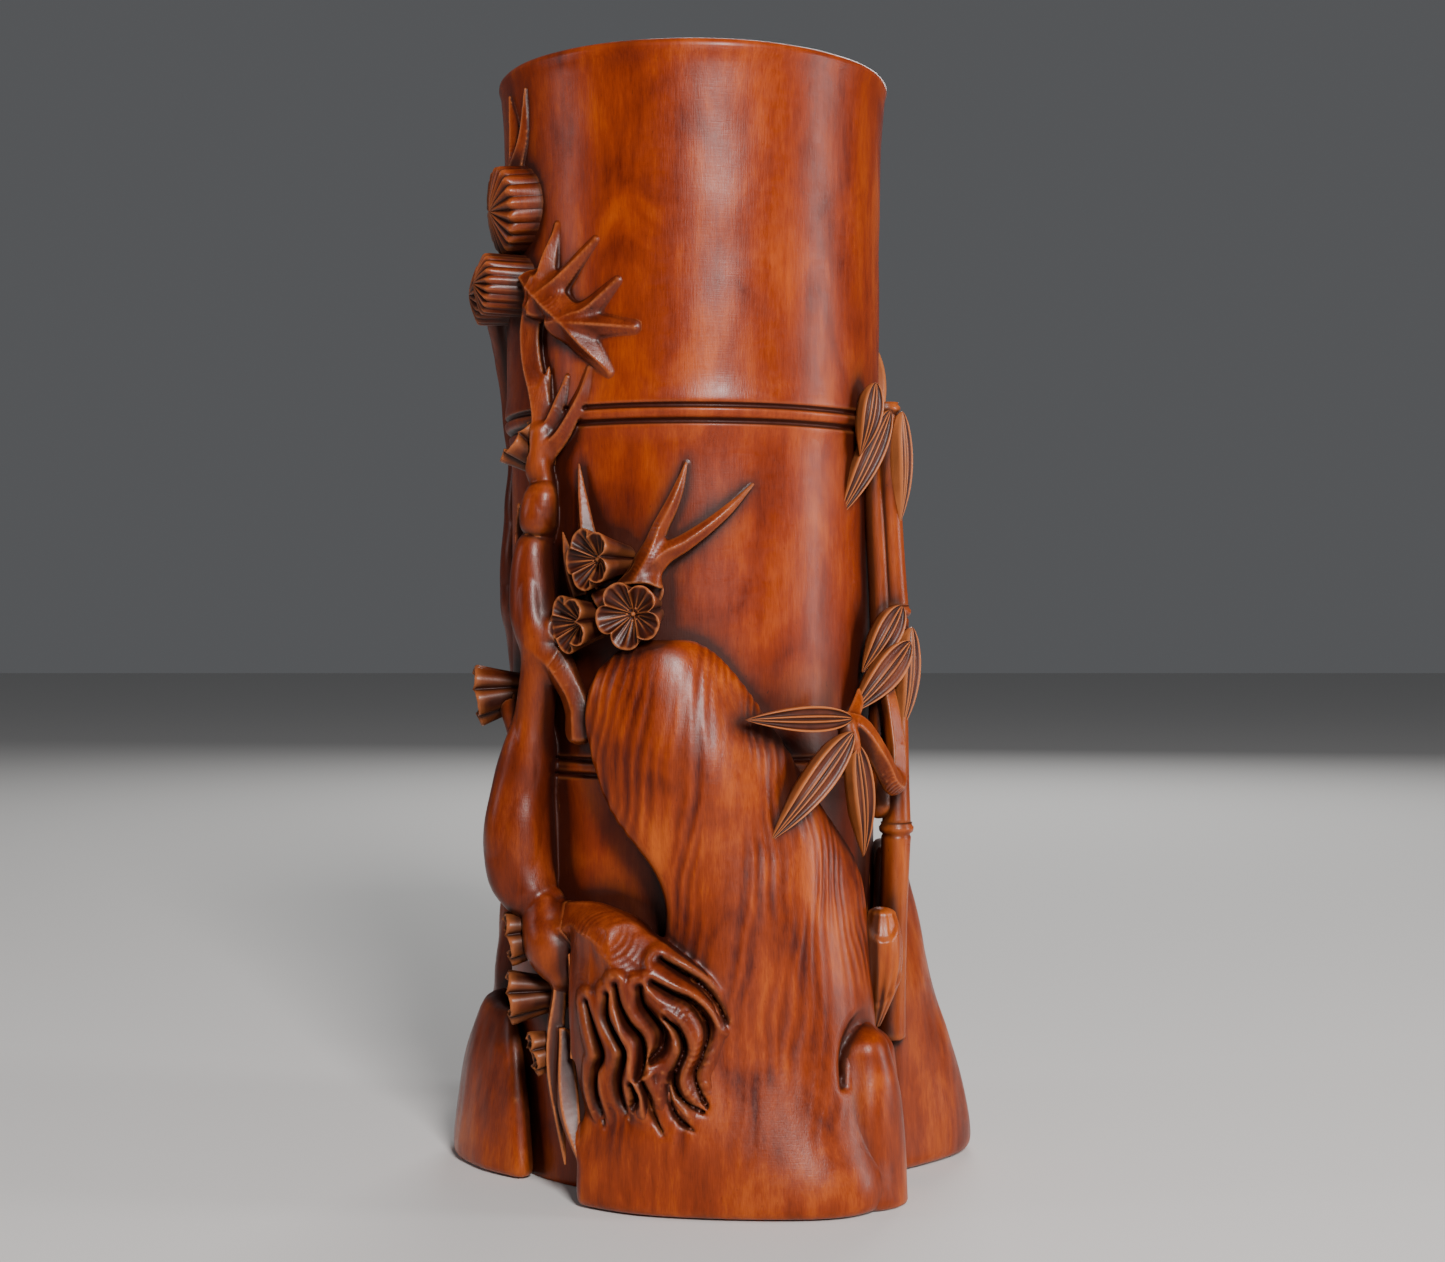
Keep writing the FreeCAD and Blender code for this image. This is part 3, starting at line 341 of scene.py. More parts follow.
# %% The plum tree, the twigs and the pine
LIMBS = {
    "plum_trunk": [
        ("round", [(-46.5, 67.5, 6, 6.4), (-50, 74, 6, 8), (-50.5, 82, 6, 8), (-50, 90, 5.5, 7),
                   (-48, 99, 5, 6), (-46.5, 107, 4.6, 4.6), (-44, 117, 4.5, 4.6), (-43, 124, 4.6, 5.2),
                   (-45.5, 131, 5.2, 5.2), (-46.5, 139, 5, 5), (-46.8, 145.5, 4.2, 4.2),
                   (-46.5, 149.5, 2.2, 2.8),
                   (-45.4, 152.4, 3.8, 4.3), (-45, 157, 3.8, 4.1), (-45.5, 160.4, 2.6, 3),
                   (-46.5, 165, 3.2, 3.4),
                   (-46, 172, 3, 3)]),
        ("ridge", [(-48, 139, 5.5, 3.6), (-51.5, 147, 5.5, 2.6), (-54, 156, 4.4, 0.5)]),
        ("round", [(-50, 101, 4.5, 3.6), (-56, 106, 3.5, 2.8), (-64, 111, 3, 2.4)]),
        ("round", [(-42, 64, 5, 5), (-38, 56, 6, 6), (-34, 50, 6, 4)]),
    ],
    "plum_stub": [
        ("soft", [(-43, 124, 5, 4.6), (-37.5, 119.5, 5, 4), (-33.5, 114, 4.4, 3.2),
                  (-31, 109, 4.2, 3.4),
                  (-30.5, 105, 4.2, 3.7)]),
    ],
    "plum_bough": [
        ("round", [(-45, 126, 4, 4.6), (-38, 127, 3.4, 4.2), (-29, 130, 3, 4), (-20, 134, 3, 4.2),
                   (-12, 136, 2.6, 4)]),
        ("ridge", [(-31, 132, 3, 2.6), (-35, 140.5, 3, 2.2), (-39, 149.5, 1.6, 0.4)]),
    ],
    "antler_twig": [
        ("soft", [(-16, 133, 3, 4.2), (-14, 138, 3, 3.6), (-11.4, 142.5, 2.8, 3.1),
                  (-9.8, 146, 2.4, 2.4), (-8.2, 150, 2.1, 1.9),
                  (-5.2, 155, 1.8, 1.6), (-3, 159.5, 1.4, 1.15), (-1.2, 164.5, 0.6, 0.3)]),
        ("soft", [(-11, 141, 2.6, 2.9), (-7, 144.2, 2.5, 2.4), (-1.8, 146.6, 2.2, 2),
                  (4.5, 150.2, 1.9, 1.6), (11, 154.6, 1.5, 1.15),
                  (18, 160, 0.6, 0.3)]),
    ],
    "plum_spike": [
        ("ridge", [(-25, 139, 3, 3.2), (-29.5, 147, 2.6, 2.7), (-32, 156, 1.8, 1.7),
                   (-34, 165, 0.7, 0.4)]),
    ],
    "upper_bough": [
        ("ridge", [(-46, 171, 3.4, 3.6), (-47.5, 180, 3.6, 3.6), (-51, 189, 3.6, 3.4),
                   (-52, 197, 3.4, 3.4), (-48.5, 205, 3.6, 3.8)]),
        ("ridge", [(-47, 173, 3.4, 3.1), (-46.4, 180, 2.8, 2.4), (-45, 187.5, 1.4, 0.4)]),
        ("ridge", [(-46, 171, 3, 3.1), (-42, 176.5, 2.4, 2.4), (-38.5, 185, 0.9, 0.4)]),
        ("ridge", [(-45, 168, 3, 3.2), (-39, 172.5, 2.3, 2.6), (-33.5, 179.5, 1.5, 1.7),
                   (-30.5, 186.5, 0.5, 0.35)]),
    ],
    "thorn_spray": [
        ("ridge", [(-49, 206, 3.4, 4.6), (-44, 202.5, 3.6, 4.9), (-38, 198, 3.0, 4.4),
                   (-32, 192.5, 2, 3), (-24, 185.5, 0.5, 0.4)]),
        ("ridge", [(-47, 203, 3.6, 3.9), (-45, 211, 2.6, 2.8), (-42.5, 220, 0.8, 0.4)]),
        ("ridge", [(-46, 203, 3.6, 3.8), (-38.5, 208, 2.2, 2.4), (-28.5, 215.5, 0.6, 0.4)]),
        ("ridge", [(-38, 197.5, 2.8, 3.6), (-30.5, 200, 1.7, 2.2), (-21.5, 206, 0.5, 0.35)]),
        ("ridge", [(-38, 197, 2.8, 3.8), (-29, 196.3, 1.8, 2.5), (-16.5, 195.3, 0.5, 0.35)]),
    ],
    "rim_twig": [
        ("ridge", [(-63, 231, 2.6, 3), (-62, 238, 2.4, 2.6), (-64, 245, 2, 1.9),
                   (-66.5, 253, 2.2, 0.4)]),
        ("ridge", [(-61.5, 236, 2.4, 2.4), (-57.5, 243, 2, 1.7), (-55.5, 253, 2.2, 0.4)]),
    ],
    "curled_twig": [
        ("lean", [(38.5, 106.5, 11.5, 2.4), (43, 104.5, 12, 2.9), (49, 98, 12.6, 2.9),
                  (54.5, 92.5, 12, 3),
                  (60, 92.5, 10.5, 3.2), (62.5, 99, 9.4, 3.1), (64, 108, 7.5, 2.7), (66, 116, 5, 2.6)]),
        ("round", [(38, 105.5, 12, 2.2), (38.5, 102.5, 12.5, 2.3), (39.5, 100.5, 12.4, 1.8)]),
        ("ridge", [(41, 106.5, 11, 2.2), (44.5, 110, 9.6, 1.9), (46.5, 113.5, 8, 0.6)]),
        ("round", [(65.5, 86, 3.4, 3.2), (67.5, 102, 3.2, 3), (70, 120, 2.8, 2.8), (71, 133, 2.2, 2.6),
                   (69.5, 155, 1.4, 2.4), (68, 176, 0.8, 2)]),
    ],
    "pine_limb": [
        ("round", [(-112, 7, 4, 10.5), (-113, 17, 3.6, 8.6), (-114.5, 34, 3.2, 7.2),
                   (-117, 62, 3, 6.2), (-121, 78, 3, 6.4),
                   (-123, 92, 3.2, 5.4), (-121, 106, 3, 5.6), (-118, 122, 3, 4.8),
                   (-113, 135, 2.8, 4.9), (-112, 148, 2.8, 4.1),
                   (-114, 160, 2.8, 4.2), (-113, 172, 2.6, 3.6), (-106, 190, 2.6, 3.2),
                   (-92, 203, 2.6, 2.8), (-82, 208, 2.6, 2.4)]),
        ("round", [(-114, 164, 2.6, 3.4), (-121, 181, 2.6, 2.6), (-129, 196, 2.4, 2.3),
                   (-131, 209, 2.2, 1.9)]),
        ("round", [(-121, 106, 3, 3.8), (-131, 120, 2.8, 3.1), (-140, 133, 2.6, 2.5),
                   (-145, 147, 2.2, 2)]),
        ("ridge", [(-118, 122, 3, 3), (-110, 130, 2.6, 2.2), (-101, 134, 1, 0.4)]),
        ("ridge", [(-108, 186, 2.6, 2.4), (-104, 196, 2.2, 1.9), (-105, 207, 0.8, 0.4)]),
    ],
    "rear_twig": [
        ("round", [(158, 58, 3, 4.2), (154, 82, 2.8, 3.4), (158, 98, 2.6, 3), (163, 108, 2.4, 2.7)]),
        ("lean", [(162, 106, 2.4, 2.9), (171, 122, 2.2, 2.5), (176, 140, 1.7, 1.8),
                  (174, 158, 0.5, 0.35)]),
        ("ridge", [(160, 102, 2.4, 2.6), (150, 116, 2, 2), (145.5, 134, 0.6, 0.35)]),
        ("ridge", [(172, 124, 2.2, 2.2), (181, 132, 2, 2), (190, 140, 1.4, 1.6)]),
    ],
    "root_leaves": [
        ("ridge", [(-35, 46, 7.5, 2.2), (-35, 30, 9.5, 2.9), (-31, 8, 9.5, 0.4)]),
        ("ridge", [(-32, 36, 9, 2.2), (-29.5, 22, 11.5, 3.2), (-24, 9, 14, 0.4)]),
        ("ridge", [(-29, 54, 10, 1.2), (-26.5, 44, 12, 2), (-27, 33, 12.5, 0.8)]),
    ],
}

# %% [markdown]
# The plum's roots spill over the front rock like flames. A carver leaves them as one swelling mass and
# then cuts the dark gaps between them, so that is how they are made here: limbs for the mass, and slots
# that wander between the strands and run out at both ends.

# %% The root mass and its slots
LIMBS["plum_roots"] = [
    ("soft", [(-33, 60, 4, 6), (-25, 60, 6.5, 6.5), (-19, 57.5, 9.5, 8), (-15, 54.5, 11, 8.4),
              (-12, 51, 12, 7)]),
    ("soft", [(-16, 56, 10, 8), (-14, 46, 12, 9), (-12, 36, 12.4, 9), (-10, 28, 11.8, 8.4),
              (-9, 22, 9.4, 7)]),
    ("soft", [(-9, 54, 11.6, 6), (-4, 50.6, 13, 5.6), (0.6, 47.6, 13.4, 4.8), (4, 44, 13.4, 3.8),
              (6.4, 40.8, 13, 2.6)]),
    ("soft", [(-6, 47, 12, 8), (-1.6, 40, 12.4, 7.6), (-1.4, 32, 12.2, 7.6), (-0.6, 25, 11.8, 7),
              (0, 21, 10, 6)]),
    ("soft", [(-21, 56, 8.6, 7), (-20.4, 44, 11, 7.4), (-18.6, 32, 11, 7.4), (-17.4, 23, 9.4, 6.4)]),
    ("ridge", [(-23, 44, 12, 3.4), (-22.4, 34, 12.6, 3.4), (-21.8, 25, 12, 3), (-20, 18.5, 10.6, 1.4)]),
]
# Azimuth, height, stand-off of the slot's middle, and half its width.
ROOT_SLOTS = [
    [(-6, 55.6, 16, 0.4), (-1.9, 53, 16, 0.8), (2.2, 50.2, 16, 0.9), (5.6, 46.4, 16, 0.9),
     (7.6, 42, 16, 0.5)],
    [(-7.4, 51, 18, 0.3), (-3.8, 48.8, 18, 0.6), (0.1, 46.8, 18, 0.9), (3, 43.2, 18, 1.3),
     (3.9, 39.5, 18, 1),
     (2.6, 34.6, 18, 0.7), (1.2, 30.9, 18, 0.7), (2.2, 26.8, 18, 0.6), (3.6, 24, 18, 0.25)],
    [(-9.7, 49.9, 18, 0.3), (-9.3, 46.2, 18, 0.6), (-7.3, 43.2, 18, 0.8), (-5.4, 40.2, 18, 1.2),
     (-5.7, 36.5, 18, 1.1),
     (-7.7, 34.2, 18, 0.4)],
    [(-4.7, 43.2, 18, 0.3), (-2.1, 40.6, 18, 0.7), (-1, 36.8, 18, 0.8), (-2.1, 33.1, 18, 0.7),
     (-3.2, 30.1, 18, 1),
     (-2.4, 27.1, 18, 0.9), (0.1, 24.5, 18, 0.6), (3.2, 22.8, 18, 0.25)],
    [(-4.1, 28.6, 18, 0.3), (-3.8, 24.9, 18, 0.6), (-2.1, 21.5, 18, 0.7), (0.8, 19.3, 18, 0.25)],
    [(-14.6, 50.3, 18, 0.3), (-13.7, 45.8, 18, 0.6), (-12, 42, 18, 0.7), (-9.7, 38.7, 18, 0.8),
     (-9.3, 34.6, 18, 1),
     (-10, 30.5, 18, 0.4)],
    [(-16.5, 48, 17, 0.3), (-16.8, 43.6, 17, 0.6), (-15.3, 40.2, 17, 0.7), (-13, 36.1, 17, 0.8),
     (-13.4, 33.1, 17, 0.8),
     (-14.4, 29.3, 17, 0.8), (-13.9, 24.9, 17, 0.7), (-11.8, 20.4, 17, 0.25)],
    [(-21.4, 46, 16, 0.3), (-19.6, 39.7, 16, 0.6), (-18.2, 34.6, 16, 0.8), (-19.5, 31.2, 16, 0.8),
     (-20.1, 27.1, 16, 0.8),
     (-19.3, 22.6, 16, 0.6), (-18, 18.6, 16, 0.25)],
    [(-11.4, 28.8, 18, 0.3), (-10.6, 25.8, 18, 0.8), (-11.3, 23.6, 18, 0.3)],
    [(-9.3, 29.4, 18, 0.3), (-8.3, 26.4, 18, 0.7), (-7.3, 22.6, 18, 0.7), (-5, 18, 18, 0.25)],
]
LEDGE_VALLEY = [
    [(31.5, 27, 20, 0.3), (32.4, 33, 20, 1.0), (34.6, 37.6, 20, 1.5), (38.5, 40.4, 20, 1.6),
     (44, 39, 20, 1.2)],
]
LEDGE = [
    [(39.5, 32.5, 15.6, 6.2), (40.5, 24, 16.4, 7.2), (40.5, 12, 17, 7.8), (40.5, 1, 17.4, 8)],
    [(49, 30, 8.6, 6), (49, 15, 9.6, 7), (49, 1, 10, 7.4)],
]
print(sum(len(strands) for strands in LIMBS.values()), "limbs in", len(LIMBS), "motifs")

# %% [markdown]
# ## From fields to meshes
# A motif's mesh is its own field blended into its neighbours and the culm. The ground is lowered a
# little first, and more under the motifs in SINK, so that the fillet's outer edge sinks into the real
# surface instead of lying in it. The
# neighbours are cut off where the motif ends, and the culm's bore stays clear.

# %% Blending a motif with what it stands on
OTHER_STEP = 0.33  # a motif that STEPS leaves out
OTHER_FILLET = 1.0  # a motif that FILLET leaves out
OTHER_SINK = 0.12  # how far the ground is lowered under a motif that SINK leaves out
SINK = {"plum_roots": 0.5, "ledge_rock": 0.5, "root_leaves": 0.5, "curled_twig": 0.5}
ROCKS = ("front_rock", "ledge_rock", "left_rock", "right_rock", "rear_rock")
FLOWERING = (  # the motifs that blossoms stand on
    "plum_trunk", "plum_bough", "plum_spike", "plum_stub", "antler_twig", "rear_twig", "upper_bough"
)
STEPS = {"front_rock": 0.64, "rear_rock": 0.75, "left_rock": 0.62, "right_rock": 0.62, "ledge_rock": 0.5,
         "plum_trunk": 0.4, "plum_roots": 0.36, "pine_limb": 0.55, "thorn_spray": 0.3, "upper_bough": 0.32,
         "antler_twig": 0.29, "rear_twig": 0.42, "curled_twig": 0.31, "root_leaves": 0.29, "rim_twig": 0.28}
FILLET = {"plum_trunk": 1.6, "pine_limb": 2.0, "rear_twig": 1.6, "antler_twig": 2.4, "plum_roots": 2.0,
          "thorn_spray": 1.8, "upper_bough": 1.4, "root_leaves": 0.5, "curled_twig": 0.9,
          "front_rock": 1.0, "ledge_rock": 2.6, "left_rock": 1.4, "right_rock": 1.4, "rear_rock": 2.0}
INNER_BLEND = {"plum_roots": 2.4, "thorn_spray": 1.5, "antler_twig": 1.2}
OTHER_INNER_BLEND = 0.7  # between the limbs of a motif that INNER_BLEND leaves out
FILLET_REACH = 1.2  # how far beyond its own field a motif keeps its fillet, in fillet sizes
CLEAR_OF_BORE = 3  # carved motifs stay this far outside the bore
ROOT_SLOT_DEPTH = 5.0
VALLEY_DEPTH = 4.0
STRAND_WIDTH = 3.6  # how far a root strand swells between its slots
STRAND_HEIGHT = 0.95
MARKS_FROM = 1.5  # chisel marks start this far out from the wall
MARKS_OVER = 3.0  # and are full this much further out
MARKS_FOOT = 2.0  # they also fade over this height at the foot


def motif_box(name):
    """The box round a motif's CAD node and limbs."""
    points = [node_points(name)]
    for _, rows in LIMBS.get(name, []):
        middle, radii = along_route(rows)
        points += [middle - radii[:, None], middle + radii[:, None]]
    points = np.vstack(points)
    if name == "ledge_rock":
        points = np.vstack([points, points + (0, -3, 6), points + (-4, -3, 0)])
    return points.min(0), points.max(0)


BOXES = {name: motif_box(name) for name in (*ROCKS, *LIMBS)}


def slots(window, runs, depth):
    """Slots open to the outside, each as deep at its widest as depth, running out where it is narrow."""
    field = window.empty()
    for rows in runs:
        points, widths = along_route(rows)
        for start, end, width in zip(points, points[1:], widths):
            margin = width + FAR
            outer = np.array([start[0], start[1], 0]) / np.hypot(start[0], start[1])
            least, most = np.minimum(start, end), np.maximum(start, end)
            low = np.minimum(least - outer * depth, least + outer * 3 * depth) - margin
            high = np.maximum(most - outer * depth, most + outer * 3 * depth) + margin
            part = window.cut(low, high)
            if part is None:
                continue
            x, y, z = window.axes(part)
            x, y, z = x - start[0], y - start[1], z - start[2]
            run = end - start
            run = run - outer * (run @ outer)
            t = np.clip((x * run[0] + y * run[1] + z * run[2]) / max(run @ run, 1e-9), 0, 1)
            a, b, c = x - t * run[0], y - t * run[1], z - t * run[2]
            height = a * outer[0] + b * outer[1]
            across = np.sqrt(np.maximum(a * a + b * b + c * c - height**2, 0))
            floor = -height - depth * min(1.0, width / 0.7) ** 0.7
            field[part] = np.minimum(field[part], np.maximum(across - width * (0.85 + 0.1 * height), floor))
    return field


def blossom_drums(window):
    """The drums that the blossoms stand on, from inside the wall to beyond their faces."""
    field = window.empty()
    x, y, z = window.axes()
    for azimuth, height, lift, turn, nod, radius in BLOSSOMS.values():
        frame_at = wall_frame(azimuth, height, 0, turn=turn, pitch=nod)
        middle, axis = frame_at.translation, frame_at.col[2]
        a, b, c = x - middle[0], y - middle[1], z - middle[2]
        along = a * axis[0] + b * axis[1] + c * axis[2]
        across = np.sqrt(np.maximum(a * a + b * b + c * c - along**2, 0))
        drum = np.maximum(across - radius * 0.93, np.maximum(1.5 - along, along - lift - 14))
        field = np.minimum(field, drum)
    return field


def motif_field(window, name):
    """A motif's own field, before it is blended."""
    if name in ROCKS:
        field = cad_field(window, name)
        if name == "front_rock":
            field = soft_max(field, -slots(window, LEDGE_VALLEY, VALLEY_DEPTH), 2.5)
            field = soft_max(field, -slots(window, ROOT_SLOTS, ROOT_SLOT_DEPTH), 0.6)
        if name == "ledge_rock":
            for rows in LEDGE:
                field = soft_min(field, limb_field(window, "round", rows), 2.5)
            field = soft_max(field, -slots(window, LEDGE_VALLEY, VALLEY_DEPTH), 1.5)
        return field
    field = window.empty()
    for section, rows in LIMBS[name]:
        field = soft_min(field, limb_field(window, section, rows), INNER_BLEND.get(name, OTHER_INNER_BLEND))
    if name == "plum_roots":
        slot = slots(window, ROOT_SLOTS, ROOT_SLOT_DEPTH)
        field = field - STRAND_HEIGHT * np.sin(np.pi * np.clip(slot / STRAND_WIDTH, 0, 1))
        field = soft_max(field, -slot, 0.9)
    if name in FLOWERING:
        field = soft_max(field, 0.5 - blossom_drums(window), 0.4)
    return field


def surroundings(window, name):
    """The culm and every other carved motif near a motif, as one field."""
    x, y, z = window.axes()
    field = np.hypot(x, y) - wall_radius(z).astype(np.float32)
    for other, (low, high) in BOXES.items():
        if other != name and window.cut(low - 1, high + 1) is not None:
            field = np.minimum(field, motif_field(window, other))
    return np.minimum(field, FAR)


def new_object(name, points, faces):
    """A smooth-shaded mesh object from points in millimetres and faces as rows of vertex numbers."""
    mesh = bpy.data.meshes.new(name)
    corners = faces.shape[1]
    mesh.vertices.add(len(points))
    mesh.vertices.foreach_set("co", (np.asarray(points, np.float32) * MM).ravel())
    mesh.loops.add(faces.size)
    mesh.loops.foreach_set("vertex_index", faces.astype(np.int32).ravel())
    mesh.polygons.add(len(faces))
    mesh.polygons.foreach_set("loop_start", np.arange(len(faces), dtype=np.int32) * corners)
    mesh.update(calc_edges=True)
    mesh.validate()
    mesh.shade_smooth()
    piece = bpy.data.objects.new(name, mesh)
    bpy.context.collection.objects.link(piece)
    return piece


PIECES = {}  # each finished piece, by the CAD node that it stands for


def keep(name, piece):
    """Names a finished piece and lets it stand for its CAD node."""
    piece.name = name + "_wood"
    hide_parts(name)
    PIECES[name] = piece


def outward_faces(points, faces):
    """The faces, turned round if they point inwards."""
    a, b, c = points[faces[:, 0]], points[faces[:, 1]], points[faces[:, 2]]
    return faces if np.einsum("ij,ij->i", a, np.cross(b, c)).sum() > 0 else faces[:, ::-1]


def surface_of(field, window):
    """Points and quads of the surface where a field is zero."""
    grid = openvdb.FloatGrid(FAR)
    grid.copyFromArray(field, ijk=tuple(int(n) for n in window.first))
    grid.transform = openvdb.createLinearTransform(voxelSize=window.step)
    points, quads = grid.convertToQuads()
    return points, outward_faces(points, quads.astype(np.int64))


# %% [markdown]
# Chisel and knife marks come last, as small moves of the finished surface: long wavy flutes on the rocks,
# and flat knife strokes along the limbs. They fade out towards the ground, so the fillets stay joined.

# %% Chisel flutes and knife strokes


def flutes(points):
    """The depth of the rock's flutes, 0 to 1: short gouge cuts, wavering and fading as they run down."""
    arc = np.degrees(np.arctan2(points[:, 0], -points[:, 1]))
    lean = arc - 0.09 * points[:, 2]
    flat = np.stack([lean, points[:, 2], np.zeros(len(points))], -1)
    drift = 1.3 * noise(flat, (13, 26, 1), 3.3) + 0.4 * noise(flat, (6, 9, 1), 9.1)
    cut = (lean / 2.7 + drift) % 1
    strength = np.clip(0.45 + 1.1 * noise(flat, (4.5, 17, 1), 5.7), 0, 1)
    return strength * np.clip(1 - (2 * cut - 1) ** 2 * 1.6, 0, 1)


def rock_marks(points):
    """The rock's surface: flutes on slow waves."""
    return -0.24 * flutes(points) + 0.5 * noise(points, (10, 10, 17), 1.2)


def waves(points):
    """The slow unevenness of a scraped surface."""
    return 0.5 * noise(points, (9, 9, 15), 4.2) + 0.12 * noise(points, (3, 3, 9), 6.6)


def strokes(points):
    """Knife strokes on a limb: broad facets that meet in soft ridges."""
    return 0.75 * np.abs(noise(points, (6.5, 6.5, 13), 7.7)) + 0.35 * noise(points, (9, 9, 10), 2.1)


def vertex_normals(points, faces):
    """Unit normals at the vertices, weighted by the faces' areas."""
    across = np.cross(points[faces[:, 2]] - points[faces[:, 0]], points[faces[:, -1]] - points[faces[:, 1]])
    total = np.zeros_like(points)
    for corner in range(faces.shape[1]):
        for k in range(3):
            total[:, k] += np.bincount(faces[:, corner], across[:, k], len(points))
    return total / np.maximum(np.linalg.norm(total, axis=1, keepdims=True), 1e-9)


def mesh_arrays(piece):
    """A piece's points in millimetres and its triangles."""
    mesh = piece.data
    points = np.empty(len(mesh.vertices) * 3)
    mesh.vertices.foreach_get("co", points)
    mesh.calc_loop_triangles()
    triangles = np.empty(len(mesh.loop_triangles) * 3, dtype=np.int32)
    mesh.loop_triangles.foreach_get("vertices", triangles)
    return points.reshape(-1, 3) / MM, triangles.reshape(-1, 3)


MARKS = {name: waves for name in ROCKS}
MARKS.update({"front_rock": rock_marks, "rear_rock": rock_marks})
MARKS.update({"plum_trunk": strokes, "pine_limb": strokes})


def carve(name):
    """The finished mesh of a carved motif."""
    step = STEPS.get(name, OTHER_STEP)
    blend = FILLET.get(name, OTHER_FILLET)
    low, high = BOXES[name]
    margin = 2.5 * blend + 2 * step
    window = Window(low - margin, high + margin, step)
    own = motif_field(window, name)
    base = surroundings(window, name) + SINK.get(name, OTHER_SINK)
    field = soft_min(own, base, blend)
    field = np.maximum(field, own - FILLET_REACH * blend)
    x, y, z = window.axes()
    field = np.maximum(field, (BORE + CLEAR_OF_BORE) - np.hypot(x, y))
    field = np.maximum(field, -z).astype(np.float32)
    points, faces = surface_of(field, window)
    marked = points
    if name in MARKS:
        normals = vertex_normals(points, faces)
        above = np.hypot(points[:, 0], points[:, 1]) - wall_radius(points[:, 2])
        fade = np.clip((above - MARKS_FROM) / MARKS_OVER, 0, 1) * np.clip(points[:, 2] / MARKS_FOOT, 0, 1)
        marked = points + normals * (MARKS[name](points) * fade)[:, None]
    piece = new_object(name, marked, faces)
    # The rocks keep their flute depth as the groove attribute, which the material paints darker: painted
    # shade in the grooves.
    if MARKS.get(name) is rock_marks:
        groove_shade = piece.data.attributes.new("groove", "FLOAT", "POINT")
        groove_shade.data.foreach_set("value", (flutes(points) * fade).astype(np.float32))
    keep(name, piece)
    print(f"{name}: {len(faces)} faces")


for motif in (*ROCKS, *LIMBS):
    carve(motif)

# %% [markdown]
# ## Node trees written as expressions
# The materials and the Geometry Nodes below are mostly arithmetic. Wrapping a socket in a small class
# lets that arithmetic be written as Python expressions, and each operator adds its Math node.

# %% A socket that does arithmetic


class Socket:
    """An output socket; arithmetic on it adds Math nodes to its tree."""

    def __init__(self, tree, output):
        self.tree = tree
        self.output = output

    def maths(self, operation, *values):
        node = add(self.tree, "ShaderNodeMath", {"operation": operation}, dict(enumerate(values)))
        return node(0)

    def __add__(self, other):
        return self.maths("ADD", self, other)

    def __sub__(self, other):
        return self.maths("SUBTRACT", self, other)

    def __rsub__(self, other):
        return self.maths("SUBTRACT", other, self)

    def __mul__(self, other):
        return self.maths("MULTIPLY", self, other)

    def __truediv__(self, other):
        return self.maths("DIVIDE", self, other)

    def __pow__(self, other):
        return self.maths("POWER", self, other)

    def call(self, operation, *values):
        """A Math operation with no operator of its own, such as SINE or MINIMUM."""
        return self.maths(operation, self, *values)

    def clamped(self, low=0.0, high=1.0):
        return self.call("MAXIMUM", low).call("MINIMUM", high)

    __radd__ = __add__
    __rmul__ = __mul__


def add(tree, kind, settings=None, inputs=None):
    """Adds a node, sets it up and links it; the result gives the node's outputs by name or number."""
    node = tree.nodes.new(kind)
    for name, value in (settings or {}).items():
        setattr(node, name, value)
    for key, value in (inputs or {}).items():
        if isinstance(value, Socket):
            tree.links.new(value.output, node.inputs[key])
        else:
            node.inputs[key].default_value = value
    return lambda key: Socket(tree, node.outputs[key])


# %% [markdown]
# ## Geometry Nodes: shared steps
# Each tree below has named inputs for its sizes. A helper makes the tree's shell, and another runs it
# once with given sizes and keeps the result as a plain mesh, which is all that the export can use.

# %% Making and running a tree


SEAM = 0.002  # vertices closer than this are merged, in a tree's own millimetres


def geometry_tree(name, **sizes):
    """A geometry node tree with a number input for each size, its inputs, and a function to finish it."""
    tree = bpy.data.node_groups.new(name, "GeometryNodeTree")
    tree.interface.new_socket("Geometry", in_out="INPUT", socket_type="NodeSocketGeometry")
    tree.interface.new_socket("Geometry", in_out="OUTPUT", socket_type="NodeSocketGeometry")
    for size, value in sizes.items():
        kind = "NodeSocketInt" if isinstance(value, int) else "NodeSocketFloat"
        tree.interface.new_socket(size, in_out="INPUT", socket_type=kind).default_value = value
    tree.interface.new_socket("Material", in_out="INPUT", socket_type="NodeSocketMaterial")
    entry = add(tree, "NodeGroupInput")

    def finish(geometry):
        real = add(tree, "GeometryNodeRealizeInstances", {}, {"Geometry": geometry})("Geometry")
        joined = {"Geometry": real, "Distance": SEAM}
        merged = add(tree, "GeometryNodeMergeByDistance", {}, joined)("Geometry")
        bare = {"Geometry": merged, "Material": entry("Material")}
        dressed = add(tree, "GeometryNodeSetMaterial", {}, bare)
        add(tree, "NodeGroupOutput", {}, {"Geometry": dressed("Geometry")})
        return tree

    return tree, entry, finish


